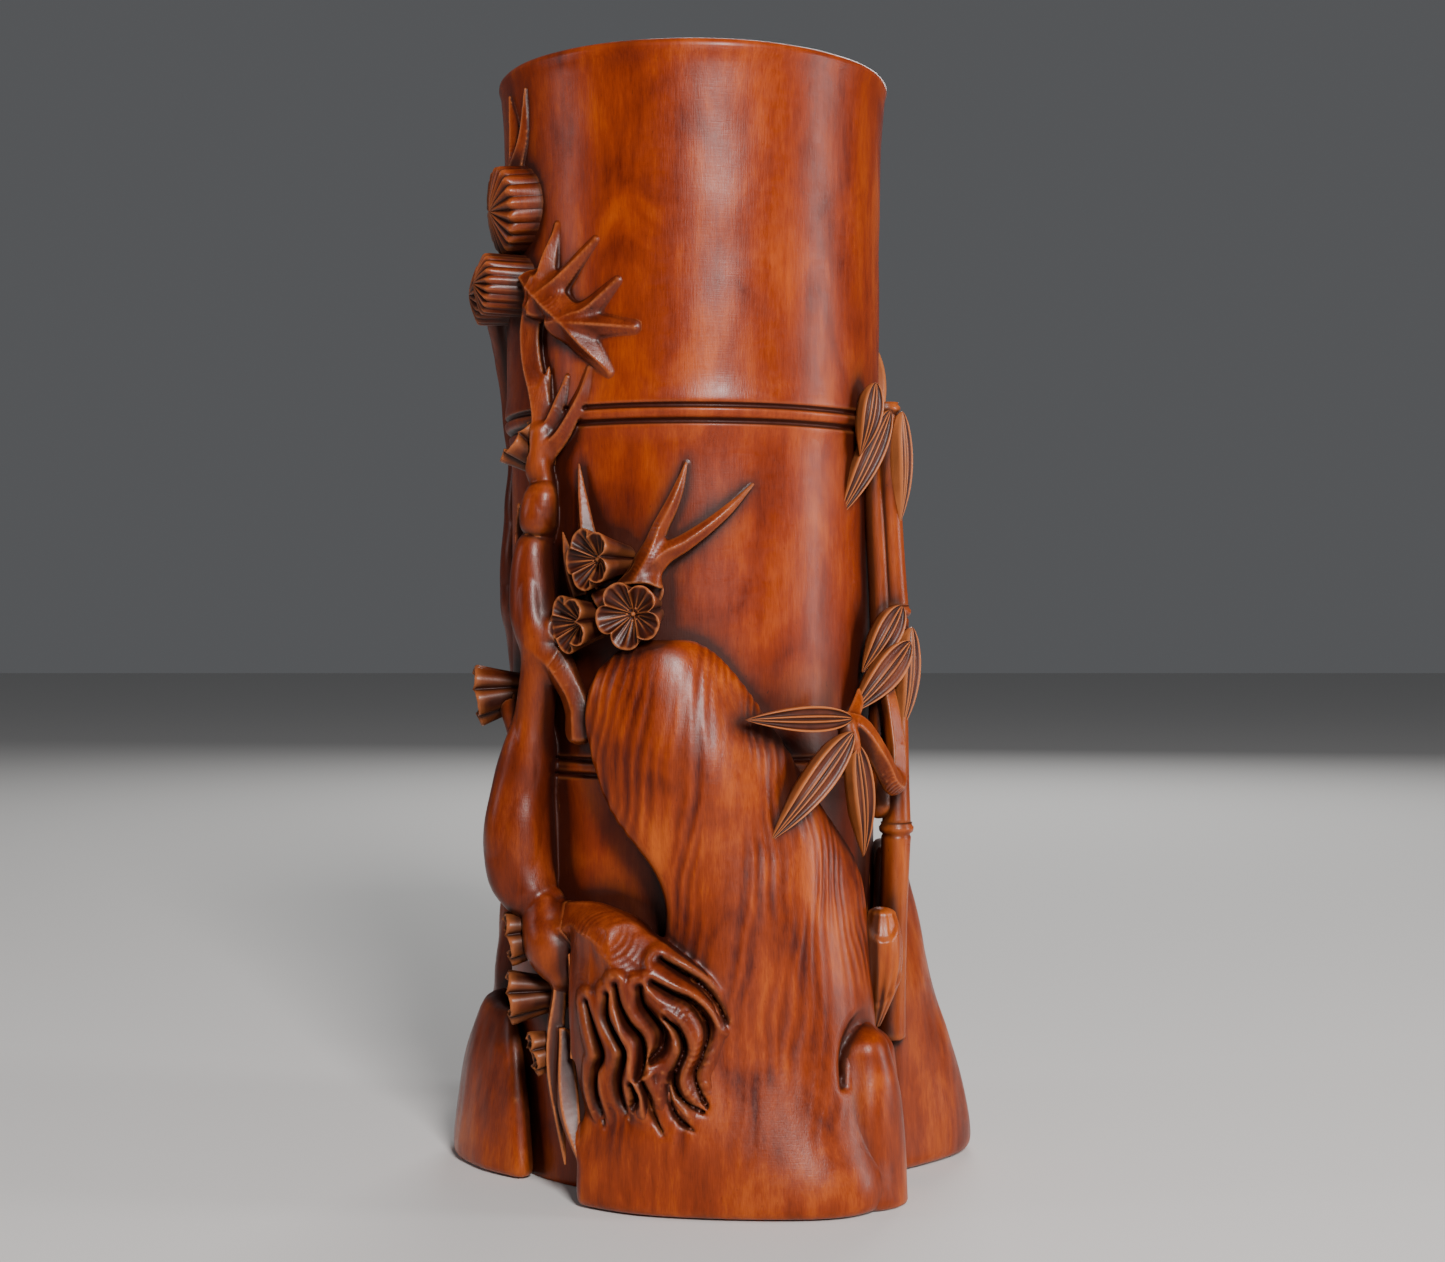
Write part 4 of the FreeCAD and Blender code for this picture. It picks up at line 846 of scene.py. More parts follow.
def run_tree(tree, name, material, source=None, place=None, **sizes):
    """The tree's result with these sizes, as a plain mesh object, moved by a matrix in millimetres."""
    mesh = source or bpy.data.meshes.new(name)
    maker = bpy.data.objects.new(name + "_maker", mesh)
    bpy.context.collection.objects.link(maker)
    modifier = maker.modifiers.new("tree", "NODES")
    modifier.node_group = tree
    for item in tree.interface.items_tree:
        if item.item_type == "SOCKET" and item.in_out == "INPUT" and item.name in sizes:
            modifier[item.identifier] = sizes[item.name]
        if item.item_type == "SOCKET" and item.in_out == "INPUT" and item.name == "Material":
            modifier[item.identifier] = material
    evaluated = maker.evaluated_get(bpy.context.evaluated_depsgraph_get())
    plain = bpy.data.meshes.new_from_object(evaluated)
    bpy.data.objects.remove(maker)
    plain.transform(Matrix.Scale(MM, 4) @ (place or Matrix.Identity(4)))
    plain.name = name
    plain.shade_smooth()
    piece = bpy.data.objects.new(name, plain)
    bpy.context.collection.objects.link(piece)
    return piece


# %% [markdown]
# ## The finish: stained and waxed boxwood
# Boxwood is dense and even, so the figure is faint: upright streaks, a slow drift of colour and a few
# dark flecks. The hollows are painted darker, partly for the stain that pools there and partly as
# painted shade, and handling rubs the raised edges pale. Two attributes that are measured on every
# mesh further down, recess and edge, say where that happens, and the pattern itself reads Object
# coordinates, so it runs unbroken from motif to motif as in one block of wood.

# %% A boxwood material


def boxwood(name, deep, middle, light, rubbed=0.35, gloss=0.34, stain_and_shade=0.9, fine=1.0):
    """Stained boxwood: three tones, how pale its edges are, its roughness and how dark its hollows are,
    with pooled stain and painted shade.
    """
    material = bpy.data.materials.new(name)
    material.use_nodes = True
    tree = material.node_tree
    tree.nodes.clear()
    place = add(tree, "ShaderNodeTexCoord")("Object")

    def pattern(scale, stretch, **inputs):
        """Noise on Object coordinates: features of that many millimetres, stretched along x, y, z."""
        spread = [1 / (MM * scale * k) for k in stretch]
        spot = add(tree, "ShaderNodeMapping", {}, {"Vector": place, "Scale": spread})("Vector")
        return add(tree, "ShaderNodeTexNoise", {}, {"Vector": spot, "Scale": 1.0, **inputs})("Fac")

    def mix(factor, first, second, blend="MIX"):
        node = tree.nodes.new("ShaderNodeMix")
        node.data_type, node.blend_type = "RGBA", blend
        for index, value in ((0, factor), (6, first), (7, second)):
            if isinstance(value, Socket):
                tree.links.new(value.output, node.inputs[index])
            else:
                node.inputs[index].default_value = value
        return Socket(tree, node.outputs[2])

    def measured(attribute):
        return add(tree, "ShaderNodeAttribute", {"attribute_name": attribute})("Fac")

    streaks = pattern(1.8, (1, 1, 9), Detail=5.0, Roughness=0.65)
    drift = pattern(13.0, (1, 1, 1.7), Detail=3.0, Distortion=0.6)
    grain = pattern(0.32, (1, 1, 7), Detail=3.0)
    speckle = pattern(0.55, (1, 1, 2.2), Detail=1.0)
    smears = pattern(5.0, (1, 1, 0.6), Detail=3.0, Distortion=1.2)
    # recess is high in hollows, and below it paints them darker, partly as pooled stain and partly as
    # painted shade.
    recess, edge, groove = measured("recess"), measured("edge"), measured("groove")

    # groove pulls the figure towards the deep tone: painted shade in the rocks' flute grooves.
    figure = (streaks * 0.35 + drift * 0.75 + grain * 0.18 - 0.14 - groove * 0.16).clamped()
    ramp = add(tree, "ShaderNodeValToRGB", {}, {"Fac": figure})
    stops = tree.nodes[-1].color_ramp.elements
    stops[0].position, stops[1].position = 0.26, 0.74
    stops[0].color, stops[1].color = (*deep, 1), (*light, 1)
    stops.new(0.5).color = (*middle, 1)

    flecks = ((speckle - 0.7) * 9).clamped() * 0.3
    # Painted shade and pooled stain: hollows, creases and the ground beside the motifs go towards near
    # black, with the wood's own dark flecks.
    stained_and_shaded = mix((recess * 1.6 + flecks).clamped() * stain_and_shade, ramp("Color"), (0.016, 0.0024, 0.0008, 1))
    worn = (edge * 1.4 + (smears - 0.5) * 0.8 * edge).clamped() * rubbed
    colour = mix(worn, stained_and_shaded, (0.50, 0.155, 0.045, 1))
    rough = (gloss + (smears - 0.5) * 0.2 + (grain - 0.5) * 0.1 + recess * 0.18).clamped(0.12, 0.9)
    scratch = pattern(0.2, (1, 1, 30), Detail=2.0)
    slanted = pattern(0.26, (12, 12, 1), Detail=2.0)
    relief = (scratch * 0.5 + slanted * 0.3 + grain * 0.5 + speckle * 0.2) * fine
    bump_node = add(tree, "ShaderNodeBump", {}, {"Height": relief, "Strength": 0.3, "Distance": 0.00014})
    shader = add(
        tree, "ShaderNodeBsdfPrincipled", {},
        {"Base Color": colour, "Roughness": rough, "Normal": bump_node("Normal"),
         "Specular IOR Level": 0.26, "Coat Weight": 0.03, "Coat Roughness": 0.14},
    )
    add(tree, "ShaderNodeOutputMaterial", {}, {"Surface": shader("BSDF")})
    return material


CULM_WOOD = boxwood(
    "waxed_culm", (0.085, 0.006, 0.0006), (0.23, 0.025, 0.0012), (0.42, 0.068, 0.003), rubbed=0.25
)
ROCK_WOOD = boxwood("fluted_rock", (0.070, 0.0055, 0.0006), (0.24, 0.031, 0.002), (0.48, 0.092, 0.005))
PLUM_WOOD = boxwood(
    "carved_plum", (0.055, 0.0055, 0.001), (0.15, 0.019, 0.0028), (0.31, 0.053, 0.006), gloss=0.32
)
PETAL_WOOD = boxwood(
    "carved_petals", (0.05, 0.007, 0.002), (0.115, 0.019, 0.005), (0.22, 0.047, 0.011), rubbed=0.55
)
BAMBOO_WOOD = boxwood(
    "carved_bamboo", (0.11, 0.011, 0.001), (0.28, 0.043, 0.003), (0.48, 0.105, 0.009), gloss=0.3
)
LEAF_WOOD = boxwood(
    "carved_leaves", (0.075, 0.011, 0.004), (0.165, 0.031, 0.010), (0.30, 0.078, 0.028), rubbed=0.7
)
PLATE_WOOD = boxwood(
    "planed_plate", (0.15, 0.024, 0.004), (0.23, 0.045, 0.008), (0.31, 0.073, 0.015), 0.35, 0.55, 0.5
)

# %% [markdown]
# ## The culm, on the lathe
# The culm, the thin stalks and the shoot are all turned forms, so one tree makes them: it takes a profile
# as a string of points, copies it round the axis, and closes the seam. Rows and columns come from a grid
# whose vertices look up the profile's points. A little seeded unevenness keeps the wall from looking
# machined.

# %% The lathe tree
lathe, size, finish = geometry_tree("lathe", Rows=10, Columns=64, Unevenness=0.0)
cells = {"Vertices X": size("Columns") + 1, "Vertices Y": size("Rows")}
sheet = add(lathe, "GeometryNodeMeshGrid", {}, cells)("Mesh")
index = add(lathe, "GeometryNodeInputIndex")("Index")
column = (index / size("Rows")).call("FLOOR")
row = index - column * size("Rows")
position = add(lathe, "GeometryNodeInputPosition")("Position")
profile = add(
    lathe, "GeometryNodeSampleIndex", {"data_type": "FLOAT_VECTOR"},
    {"Geometry": size("Geometry"), "Value": position, "Index": row},
)("Value")
turned = add(lathe, "ShaderNodeSeparateXYZ", {}, {"Vector": profile})
angle = column * (2 * math.pi) / size("Columns")
spot = add(
    lathe, "ShaderNodeCombineXYZ", {},
    {"X": turned("X") * angle.call("COSINE"), "Y": turned("X") * angle.call("SINE"), "Z": turned("Z")},
)("Vector")
slow = {"Vector": spot, "Scale": 0.05, "Detail": 1.0}
wander = add(lathe, "ShaderNodeTexNoise", {"noise_dimensions": "3D"}, slow)("Fac")
grown = turned("X") + (wander - 0.5) * size("Unevenness")
spot = add(
    lathe, "ShaderNodeCombineXYZ", {},
    {"X": grown * angle.call("COSINE"), "Y": grown * angle.call("SINE"), "Z": turned("Z")},
)("Vector")
finish(add(lathe, "GeometryNodeSetPosition", {}, {"Geometry": sheet, "Position": spot})("Geometry"))


def turn(name, profile_points, material, place=None, columns=64, unevenness=0.0):
    """Turns a profile of (radius, height) points into a closed mesh."""
    string = bpy.data.meshes.new(name + "_profile")
    string.from_pydata([(r, 0, z) for r, z in profile_points], [], [])
    rows = len(profile_points)
    return run_tree(
        lathe, name, material, string, place, Rows=rows, Columns=columns, Unevenness=unevenness
    )


# %% [markdown]
# The culm's profile runs up the outside, over the rounded rim, down the bore and back along the foot.
# Rows lie close together only where the profile bends, at the rings and the rim.

# %% The culm
ring_rows = [ring + offset for ring in RINGS for offset in np.linspace(-4.5, 4.5, 37)]
plain_rows = [z for z in np.arange(1.0, HEIGHT - 3, 2.2) if min(abs(z - ring) for ring in RINGS) > 4.6]
outside = [(wall_radius(z), z) for z in sorted([0.0, *ring_rows, *plain_rows])]
lip = 2.2
rim_turns = np.radians(np.linspace(0, 180, 15))
rim_middle = (RIM + BORE) / 2
rim_half = (RIM - BORE) / 2
rim = [
    (
        rim_middle + rim_half * math.copysign(abs(math.cos(a)) ** 0.55, math.cos(a)),
        HEIGHT - lip + lip * math.sin(a) ** 0.7,
    )
    for a in rim_turns
]
bore = [(BORE, z) for z in np.linspace(HEIGHT - 8, PLATE, 40)]
foot = [(REBATE, PLATE), (REBATE, 0.0), ((REBATE + CULM) / 2, 0.0)]
culm = turn("culm_wall", outside + rim + bore + foot + [outside[0]], CULM_WOOD, columns=240, unevenness=0.7)
keep("culm_wall", culm)
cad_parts["foot_plate"].data.materials.clear()
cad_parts["foot_plate"].data.materials.append(PLATE_WOOD)
print("culm:", len(culm.data.polygons), "faces")

# %% [markdown]
# ## Blossoms and needle fans
# Both are drums that stand off the wall, with a face made of equal lobes: five cupped petals, or twenty
# needles on a dome. One sector is a small grid, folded over from the face to the wall of the drum
# and under it. The tree copies the sector round the axis as instances and merges them into one solid.

# %% The rosette tree
rosette, size, finish = geometry_tree(
    "rosette", Lobes=5, Radius=6.5, Depth=8.0, Cup=2.0, Notch=0.2, Sharpness=3.0, Crease=0.4, Ribs=4.0,
    Rib_height=0.15, Flare=0.1, Wall_notch=1.0, Taper=0.1,
)
cells = {"Size X": 1.0, "Size Y": 1.0, "Vertices X": 46, "Vertices Y": 33}
sheet = add(rosette, "GeometryNodeMeshGrid", {}, cells)("Mesh")
position = add(rosette, "GeometryNodeInputPosition")("Position")
grid = add(rosette, "ShaderNodeSeparateXYZ", {}, {"Vector": position})
along = grid("X") + 0.5
lobe = grid("Y") * 2
face_end, wall_end = 0.7, 0.93
radial = (along / face_end).clamped() - ((along - wall_end) / (1 - wall_end)).clamped()
fall = ((along - face_end) / (wall_end - face_end)).clamped()
edge_of_lobe = lobe.call("ABSOLUTE") ** size("Sharpness")
notch = size("Notch") * edge_of_lobe * (1 - fall * (1 - size("Wall_notch")))
reach = size("Radius") * (1 - notch) * (1 - size("Taper") * fall)
outer = ((radial - 0.9) * 10).clamped()
top = (
    size("Cup") * (radial**1.6 - 1)
    + size("Crease") * edge_of_lobe * radial
    + size("Rib_height") * (lobe * size("Ribs") * math.pi).call("COSINE")
    * (radial * 3 - 0.5).clamped() * (1 - outer)
    + size("Rib_height") * 1.6 * outer
    - outer**3 * 0.5
)
height = top * (1 - fall) - size("Depth") * fall
spread = radial * reach * (1 + size("Flare") * radial * (1 - fall) - size("Flare") * 0.5)
turn_angle = lobe * math.pi / size("Lobes")
folded = add(
    rosette, "ShaderNodeCombineXYZ", {},
    {"X": spread * turn_angle.call("COSINE"), "Y": spread * turn_angle.call("SINE"), "Z": height},
)("Vector")
sector = add(rosette, "GeometryNodeSetPosition", {}, {"Geometry": sheet, "Position": folded})("Geometry")
spots = add(rosette, "GeometryNodePoints", {}, {"Count": size("Lobes")})(0)
number = add(rosette, "GeometryNodeInputIndex")("Index")
facing = add(rosette, "ShaderNodeCombineXYZ", {}, {"Z": number * (2 * math.pi) / size("Lobes")})("Vector")
copies = add(
    rosette, "GeometryNodeInstanceOnPoints", {}, {"Points": spots, "Instance": sector, "Rotation": facing}
)("Instances")
finish(copies)

# %% [markdown]
# A blossom's heart is a ring of stamens round a pistil. They repeat, so a second small tree instances
# a bead on the points of a circle.

# %% The stamen tree
stamens, size, finish = geometry_tree("stamens", Count=9, Ring=1.5, Bead=0.34)
circle = {"Vertices": size("Count"), "Radius": size("Ring")}
ring = add(stamens, "GeometryNodeMeshCircle", {}, circle)("Mesh")
bead = add(stamens, "GeometryNodeMeshIcoSphere", {}, {"Radius": size("Bead"), "Subdivisions": 2})("Mesh")
beads = add(stamens, "GeometryNodeInstanceOnPoints", {}, {"Points": ring, "Instance": bead})("Instances")
large = {"Radius": size("Bead") * 1.7, "Subdivisions": 2}
pistil = add(stamens, "GeometryNodeMeshIcoSphere", {}, large)("Mesh")
heart = add(stamens, "GeometryNodeJoinGeometry")
stamens.links.new(beads.output, stamens.nodes[-1].inputs[0])
stamens.links.new(pistil.output, stamens.nodes[-1].inputs[0])
finish(heart("Geometry"))

# %% The blossoms and the fans


def join(name, pieces):
    """Joins several meshes into the first one's object."""
    with bpy.context.temp_override(active_object=pieces[0], selected_editable_objects=pieces):
        bpy.ops.object.join()
    pieces[0].name = name
    return pieces[0]


for count, (name, (azimuth, height, lift, turn_by, nod, radius)) in enumerate(BLOSSOMS.items()):
    place = wall_frame(azimuth, height, 0, turn=turn_by, pitch=nod) @ Matrix.Translation((0, 0, lift))
    place = place @ Matrix.Rotation(0.4 + 1.3 * count, 4, "Z")
    flower = run_tree(
        rosette, name, PETAL_WOOD, None, place, Lobes=5, Radius=radius * 0.94, Depth=lift + 3.0,
        Cup=3.9, Notch=0.3, Sharpness=3.0, Crease=1.0, Ribs=4.0, Rib_height=0.15,
        Flare=0.36, Wall_notch=0.8, Taper=0.3,
    )
    heart_place = place @ Matrix.Translation((0, 0, -3.6))
    keep(name, join(name, [flower, run_tree(stamens, name + "_stamens", PETAL_WOOD, None, heart_place)]))

for name, (azimuth, height, lift, turn_by, nod, radius) in FANS.items():
    place = wall_frame(azimuth, height, 0, turn=turn_by, pitch=nod) @ Matrix.Translation((0, 0, lift))
    piece = run_tree(
        rosette, name, PLUM_WOOD, None, place, Lobes=20, Radius=radius, Depth=lift + 3.0,
        Cup=-2.2, Notch=0.05, Sharpness=1.6, Crease=-1.0, Ribs=0.0, Rib_height=0.0,
        Flare=0.03, Wall_notch=0.25, Taper=-0.02,
    )
    keep(name, piece)
print(len(PIECES), "pieces so far")

# %% [markdown]
# ## Bamboo leaves
# A carved leaf is a thick blade with a raised rim, a sharp midrib and a hollow to each side of it. The
# tree bends a grid to that surface, folds its outer rows down as the blade's edge and closes the back.

# %% The leaf tree
leaf_tree, size, finish = geometry_tree(
    "bamboo_leaf", Length=25.0, Width=6.0, Hollow=0.7, Rib=0.85, Rim=0.5, Depth=2.6, Arch=1.0
)
cells = {"Size X": 1.0, "Size Y": 1.0, "Vertices X": 49, "Vertices Y": 37}
sheet = add(leaf_tree, "GeometryNodeMeshGrid", {}, cells)("Mesh")
position = add(leaf_tree, "GeometryNodeInputPosition")("Position")
grid = add(leaf_tree, "ShaderNodeSeparateXYZ", {}, {"Vector": position})
along = grid("X") + 0.5
raw = grid("Y") * 2
fold = 0.84
across = (raw / fold).clamped(-1.0, 1.0)
fall = ((raw.call("ABSOLUTE") - fold) / (1 - fold)).clamped()
swell = (along**0.72 * math.pi).call("SINE").call("MAXIMUM", 0.0) ** 0.85
half = size("Width") * 0.5 * swell
depth = size("Depth") * (swell * 1.15).clamped(0.12)
inner = across.call("ABSOLUTE")
ribs = (((inner - 0.2) * 8) ** 2 + 1) ** -1.0
rim = (((inner - 0.9) * 9) ** 2 + 1) ** -1.0
face = (size("Rib") * ribs + size("Rim") * rim - size("Hollow") * (1 - inner**2)) * (swell * 1.5).clamped()
arch = size("Arch") * (along * math.pi).call("SINE") - size("Arch") * 1.4 * along**3
front = add(
    leaf_tree, "ShaderNodeCombineXYZ", {},
    {"X": along * size("Length"), "Y": across * half, "Z": face * (1 - fall) - depth * fall + arch},
)("Vector")
back = add(
    leaf_tree, "ShaderNodeCombineXYZ", {},
    {"X": along * size("Length"), "Y": raw * half, "Z": arch - depth},
)("Vector")
blade = add(leaf_tree, "GeometryNodeSetPosition", {}, {"Geometry": sheet, "Position": front})("Geometry")
under = add(leaf_tree, "GeometryNodeSetPosition", {}, {"Geometry": sheet, "Position": back})("Geometry")
under = add(leaf_tree, "GeometryNodeFlipFaces", {}, {"Mesh": under})("Mesh")
whole = add(leaf_tree, "GeometryNodeJoinGeometry")
leaf_tree.links.new(blade.output, leaf_tree.nodes[-1].inputs[0])
leaf_tree.links.new(under.output, leaf_tree.nodes[-1].inputs[0])
finish(whole("Geometry"))

# %% [markdown]
# Each leaf starts at a stem and lies along the wall, so it is placed by its stem end, its heading and
# the way it tips.

# %% The leaves
# Azimuth, height and stand-off of the stem end, heading, pitch, turn, length and width.
LEAVES = {
    "spray_leaf_left": (37.5, 107.5, 14.5, -90, -4, -10, 25.5, 5.8),
    "spray_leaf_low": (37.5, 104.5, 15.0, -140, -4, -6, 31.0, 6.8),
    "spray_leaf_down": (39.5, 101.5, 14.0, 166, -6, 4, 27.0, 6.2),
    "middle_leaf_upper": (68.5, 133, 8.4, -146, 2, -42, 19.0, 6.8),
    "middle_leaf_lower": (68.5, 124.5, 10.4, -136, 2, -40, 23.0, 7.4),
    "middle_leaf_outer": (71.5, 128, 10.0, -174, 0, -20, 25.0, 6.0),
    "top_leaf_inner": (59.5, 185, 5.0, -168, 0, -28, 17.5, 5.4),
    "top_leaf_long": (66, 179, 6.2, -153, -2, -36, 29.0, 6.0),
    "top_leaf_outer": (70, 179, 8.0, 178, 0, -14, 27.0, 5.2),
    "rear_leaf_high": (122.5, 204, 5.0, 150, 0, 0, 24.0, 6.4),
    "rear_leaf_middle": (121, 202, 6.6, -160, 0, 0, 24.0, 6.4),
    "rear_leaf_left": (127, 152, 6.4, 128, 0, 0, 24.0, 6.4),
    "rear_leaf_right": (125.5, 150, 6.4, -130, 0, 0, 24.0, 6.4),
}
for name, (azimuth, height, stand_off, heading, pitch, turn_by, length, width) in LEAVES.items():
    place = wall_frame(azimuth, height, stand_off, heading, pitch, turn_by)
    keep(name, run_tree(leaf_tree, name, LEAF_WOOD, None, place, Length=length, Width=width, Depth=3.2))
print(len(PIECES), "pieces so far")

# %% [markdown]
# ## The thin bamboo
# Each length of the stalk is a turned, slightly waisted rod with a double ring at its head. Its axis runs
# between the middles of the CAD rod's two ends.

# %% The stalks and the shoot


def rod_frame(foot, head):
    """The matrix at a rod's foot with Z along it, and its length, from azimuths, heights and stand-offs."""
    start, end = on_wall(*foot), on_wall(*head)
    out = Vector(end - start)
    side = Vector((0, 0, 1)).cross(Vector(start)).normalized()
    turned = Matrix((side, out.normalized().cross(side), out.normalized())).transposed().to_4x4()
    turned.translation = Vector(start)
    return turned, out.length


def stalk_profile(length, radius):
    """A waisted length of bamboo with a swelling and two fine rings at its head."""
    profile_points = [(0.0, -0.6), (radius * 0.9, -0.6)]
    for z in np.linspace(0, length, 90):
        share = z / length
        r = radius * (0.9 + 0.1 * (2 * share - 1) ** 2)
        below = length - z
        r += 0.55 * bump(below - 1.4, 1.1) - 0.5 * bump(below - 2.9, 0.3) - 0.35 * bump(below - 0.5, 0.25)
        profile_points.append((r, z))
    return profile_points + [(0.0, length)]


STALKS = {
    "stalk_lower": ((64.5, 32, 6.6), (68, 82, 7.0), 3.6),
    "stalk_middle": ((68, 82, 7.0), (74, 133, 5.2), 3.4),
    "stalk_upper": ((74, 133, 5.2), (70, 181, 3.4), 3.3),
    "rear_stalk_lower": ((128, 16, 1.8), (124, 92, 2.0), 3.4),
    "rear_stalk_middle": ((124, 92, 2.0), (127, 148, 1.8), 3.1),
    "rear_stalk_upper": ((127, 148, 1.8), (123, 205, 1.4), 2.8),
}
for name, (stalk_foot, stalk_head, radius) in STALKS.items():
    place, length = rod_frame(stalk_foot, stalk_head)
    keep(name, turn(name, stalk_profile(length, radius), BAMBOO_WOOD, place, columns=36, unevenness=0.3))

# %% [markdown]
# The shoot is a plump spindle wrapped in sheaths. Its rings climb like a screw, and ribs run up its
# lower half.

# %% The shoot
place, length = rod_frame((51, 36.5, 9.0), (53, 62, 9.6))
shares = np.linspace(0, 1, 110)
plump = [(1.3 + 4.2 * math.sin(math.pi * share**1.2 * 0.88) ** 0.8, length * share) for share in shares]
tip = 1.6  # the rounded tip's height
neck = plump[-1][0]
plump += [(neck * math.cos(a), length + tip * math.sin(a)) for a in np.radians(np.linspace(10, 80, 8))]
shoot = turn("bamboo_shoot", [(0.0, -1.0), *plump, (0.0, length + tip)], BAMBOO_WOOD, place, columns=72)
shoot_points, _ = mesh_arrays(shoot)
inverse = np.array(place.inverted())
local = shoot_points @ inverse[:3, :3].T + inverse[:3, 3]
around = np.arctan2(local[:, 1], local[:, 0])
share = local[:, 2] / length
sheath = (share * 1.7 - 0.6 * np.cos(around - 0.8)) % 1
ribs = np.cos(13 * around + 2 * share) * np.clip(1.6 - 2 * share, 0.25, 1)
swell = 1 + 0.09 * np.clip(sheath * 1.1, 0, 1) ** 4 * np.clip(12 * (1 - sheath), 0, 1) + 0.05 * ribs
local[:, :2] *= swell[:, None]
matrix = np.array(place)
shoot_points = (local @ matrix[:3, :3].T + matrix[:3, 3]) * MM
shoot.data.vertices.foreach_set("co", shoot_points.ravel().astype(np.float32))
shoot.data.update()
keep("bamboo_shoot", shoot)
print(len(PIECES), "pieces in all")

# %% [markdown]
# ## Where stain and painted shade darken the hollows, and where hands rub
# Every mesh gets two numbers at each vertex. Recess looks out along the normal into the distance field
# of the whole pot: where the nearest wood is closer than it would be in the open, the spot is in a
# hollow, which the material paints darker, partly as pooled stain and partly as painted shade. Edge
# compares each vertex with its neighbours, so it is high on ridges and rims.

# %% Measuring recess and edge
for name in (*ROCKS, *LIMBS):
    wood = ROCK_WOOD if name in ROCKS else PLUM_WOOD
    wood = {"curled_twig": BAMBOO_WOOD, "root_leaves": LEAF_WOOD}.get(name, wood)
    PIECES[name].data.materials.append(wood)


def whole_field(step, band):
    """The distance field of all the pieces together."""
    points, triangles, count = [], [], 0
    for piece in PIECES.values():
        own_points, own_triangles = mesh_arrays(piece)
        points.append(own_points)
        triangles.append(own_triangles + count)
        count += len(own_points)
    points, triangles = np.vstack(points), np.vstack(triangles)
    window = Window(points.min(0) - band - 1, points.max(0) + band + 1, step)
    transform = openvdb.createLinearTransform(voxelSize=step)
    grid = openvdb.FloatGrid.createLevelSetFromPolygons(
        points, triangles=triangles, transform=transform, halfWidth=band / step
    )
    field = np.empty(window.shape, np.float32)
    grid.copyToArray(field, ijk=tuple(int(n) for n in window.first))
    return field, window


def sample(field, window, points):
    """The field at points, blended between the grid's points."""
    spot = points / window.step - window.first
    spot = np.clip(spot, 0, np.array(window.shape) - 1.001)
    cell = spot.astype(int)
    part = spot - cell
    total = 0
    for corner in np.ndindex(2, 2, 2):
        weight = np.prod([part[:, k] if corner[k] else 1 - part[:, k] for k in range(3)], axis=0)
        i, j, k = (cell + corner).T
        total = total + weight * field[i, j, k]
    return total


def soften(values, pairs, passes):
    """Averages values over the mesh's edges a few times."""
    count = np.maximum(np.bincount(pairs.ravel(), minlength=len(values)), 1)
    for _ in range(passes):
        total = np.bincount(pairs[:, 0], values[pairs[:, 1]], len(values))
        total += np.bincount(pairs[:, 1], values[pairs[:, 0]], len(values))
        values = 0.5 * values + 0.5 * total / count
    return values


def measure(piece):
    """Writes a piece's recess and edge attributes."""
    points, triangles = mesh_arrays(piece)
    normals = vertex_normals(points, triangles)
    recess = np.zeros(len(points))
    for (field, window), reach, weight in LOOKS:
        recess += weight * np.clip(1.04 - sample(field, window, points + normals * reach) / reach, 0, 1)
    mesh = piece.data
    pairs = np.empty(len(mesh.edges) * 2, dtype=np.int32)
    mesh.edges.foreach_get("vertices", pairs)
    pairs = pairs.reshape(-1, 2)
    across = points[pairs[:, 1]] - points[pairs[:, 0]]
    length = np.maximum(np.linalg.norm(across, axis=1), 1e-6)
    bend = np.einsum("ij,ij->i", across, normals[pairs[:, 1]] - normals[pairs[:, 0]]) / length**2
    total = np.bincount(pairs.ravel(), np.repeat(bend, 2), len(points))
    edge = total / np.maximum(np.bincount(pairs.ravel(), minlength=len(points)), 1)
    edge = soften(np.clip(edge, -3, 3), pairs, 3)
    # Inward creases count as recess too, so they are painted darker: pooled stain and painted shade.
    crease = soften(np.clip(-edge, 0, 3), pairs, 2)
    for name, values in (("edge", edge * 0.9 - 0.12), ("recess", recess + crease * 0.35)):
        attribute = mesh.attributes.new(name, "FLOAT", "POINT")
        attribute.data.foreach_set("value", np.clip(values, 0, 1).astype(np.float32))


near, wide = whole_field(0.8, 6.4), whole_field(1.6, 16.0)
# The wide look paints a broad shade on the ground beside the motifs, where their shadows fall.
# How far out along the normal a vertex looks, and how much what it meets there counts.
LOOKS = ((near, 1.2, 0.3), (near, 2.6, 0.3), (near, 5.2, 0.3), (wide, 13.0, 0.45))
for piece in PIECES.values():
    measure(piece)
print("measured", sum(len(piece.data.polygons) for piece in PIECES.values()), "faces")

# %% [markdown]
# ## Riding on the frame
# The pot has no moving parts, so every piece rides on the one body, root.

# %% The body
for name, piece in PIECES.items():
    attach(piece, "root")

# %% [markdown]
# ## Floor, light and camera
# A plain pale floor and four soft boxes: a strong one a little right of the front, whose reflection is
# the upright streak on the culm, weaker ones to the right and the left, one behind, and a dim surround.

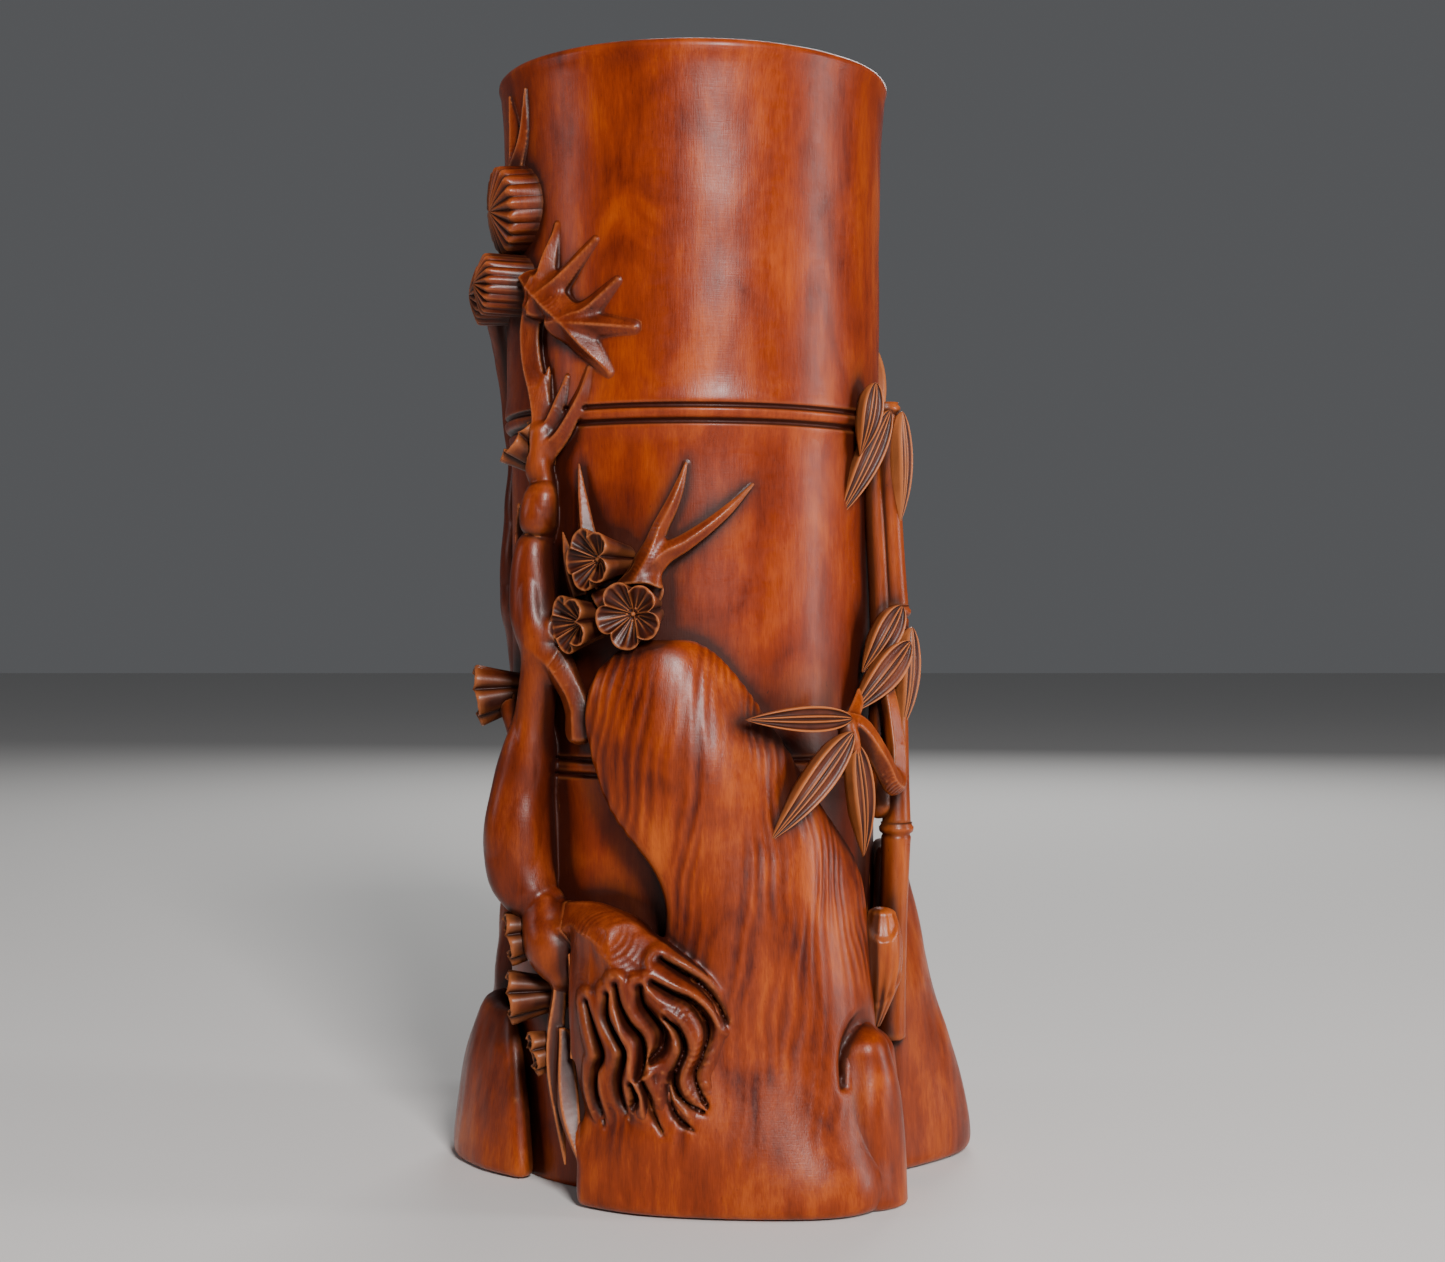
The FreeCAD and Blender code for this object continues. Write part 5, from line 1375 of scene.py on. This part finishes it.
# %% The studio
bpy.ops.mesh.primitive_plane_add(size=12, location=(0, 0, -0.0002))
floor = bpy.context.object
floor.name = "studio_floor"
paper = bpy.data.materials.new("pale_paper")
paper.use_nodes = True
paper.node_tree.nodes["Principled BSDF"].inputs["Base Color"].default_value = (0.72, 0.71, 0.69, 1)
paper.node_tree.nodes["Principled BSDF"].inputs["Roughness"].default_value = 0.85
floor.data.materials.append(paper)

world = bpy.data.worlds.new("studio")
world.use_nodes = True
world.node_tree.nodes["Background"].inputs["Color"].default_value = (0.80, 0.82, 0.86, 1)
world.node_tree.nodes["Background"].inputs["Strength"].default_value = 0.12
bpy.context.scene.world = world


def soft_box(name, azimuth, distance, height, width, tall, power, tint=(1, 1, 1)):
    """An area light at an azimuth round the pot, aimed at the pot's middle."""
    light = bpy.data.lights.new(name, "AREA")
    light.shape = "RECTANGLE"
    light.size, light.size_y = width, tall
    light.energy = power
    light.color = tint
    lamp = bpy.data.objects.new(name, light)
    turn_by = math.radians(azimuth)
    lamp.location = (distance * math.sin(turn_by), -distance * math.cos(turn_by), height)
    aim = Vector((0, 0, 0.13)) - lamp.location
    lamp.rotation_euler = aim.to_track_quat("-Z", "Y").to_euler()
    bpy.context.collection.objects.link(lamp)


soft_box("key_box", 15, 1.1, 0.66, 0.22, 0.34, 20.0, (1.0, 0.95, 0.94))
soft_box("right_box", 80, 1.0, 0.30, 0.2, 0.5, 4.0)
soft_box("left_box", -78, 1.2, 0.5, 0.2, 0.4, 1.5, (0.95, 0.96, 1.0))
soft_box("back_box", 170, 1.3, 0.9, 0.6, 0.6, 9.0)

# %% The camera
CAMERA_AT = (0.0072, -0.530, 0.127)
camera = bpy.data.cameras.new("studio_camera")
camera.sensor_width = 36.0
camera.lens = 53.9  # millimetres, as is the sensor
camera.clip_start = 0.01
viewer = bpy.data.objects.new("studio_camera", camera)
viewer.location = CAMERA_AT
viewer.rotation_euler = (math.radians(90), 0, 0)
bpy.context.collection.objects.link(viewer)
bpy.context.scene.camera = viewer
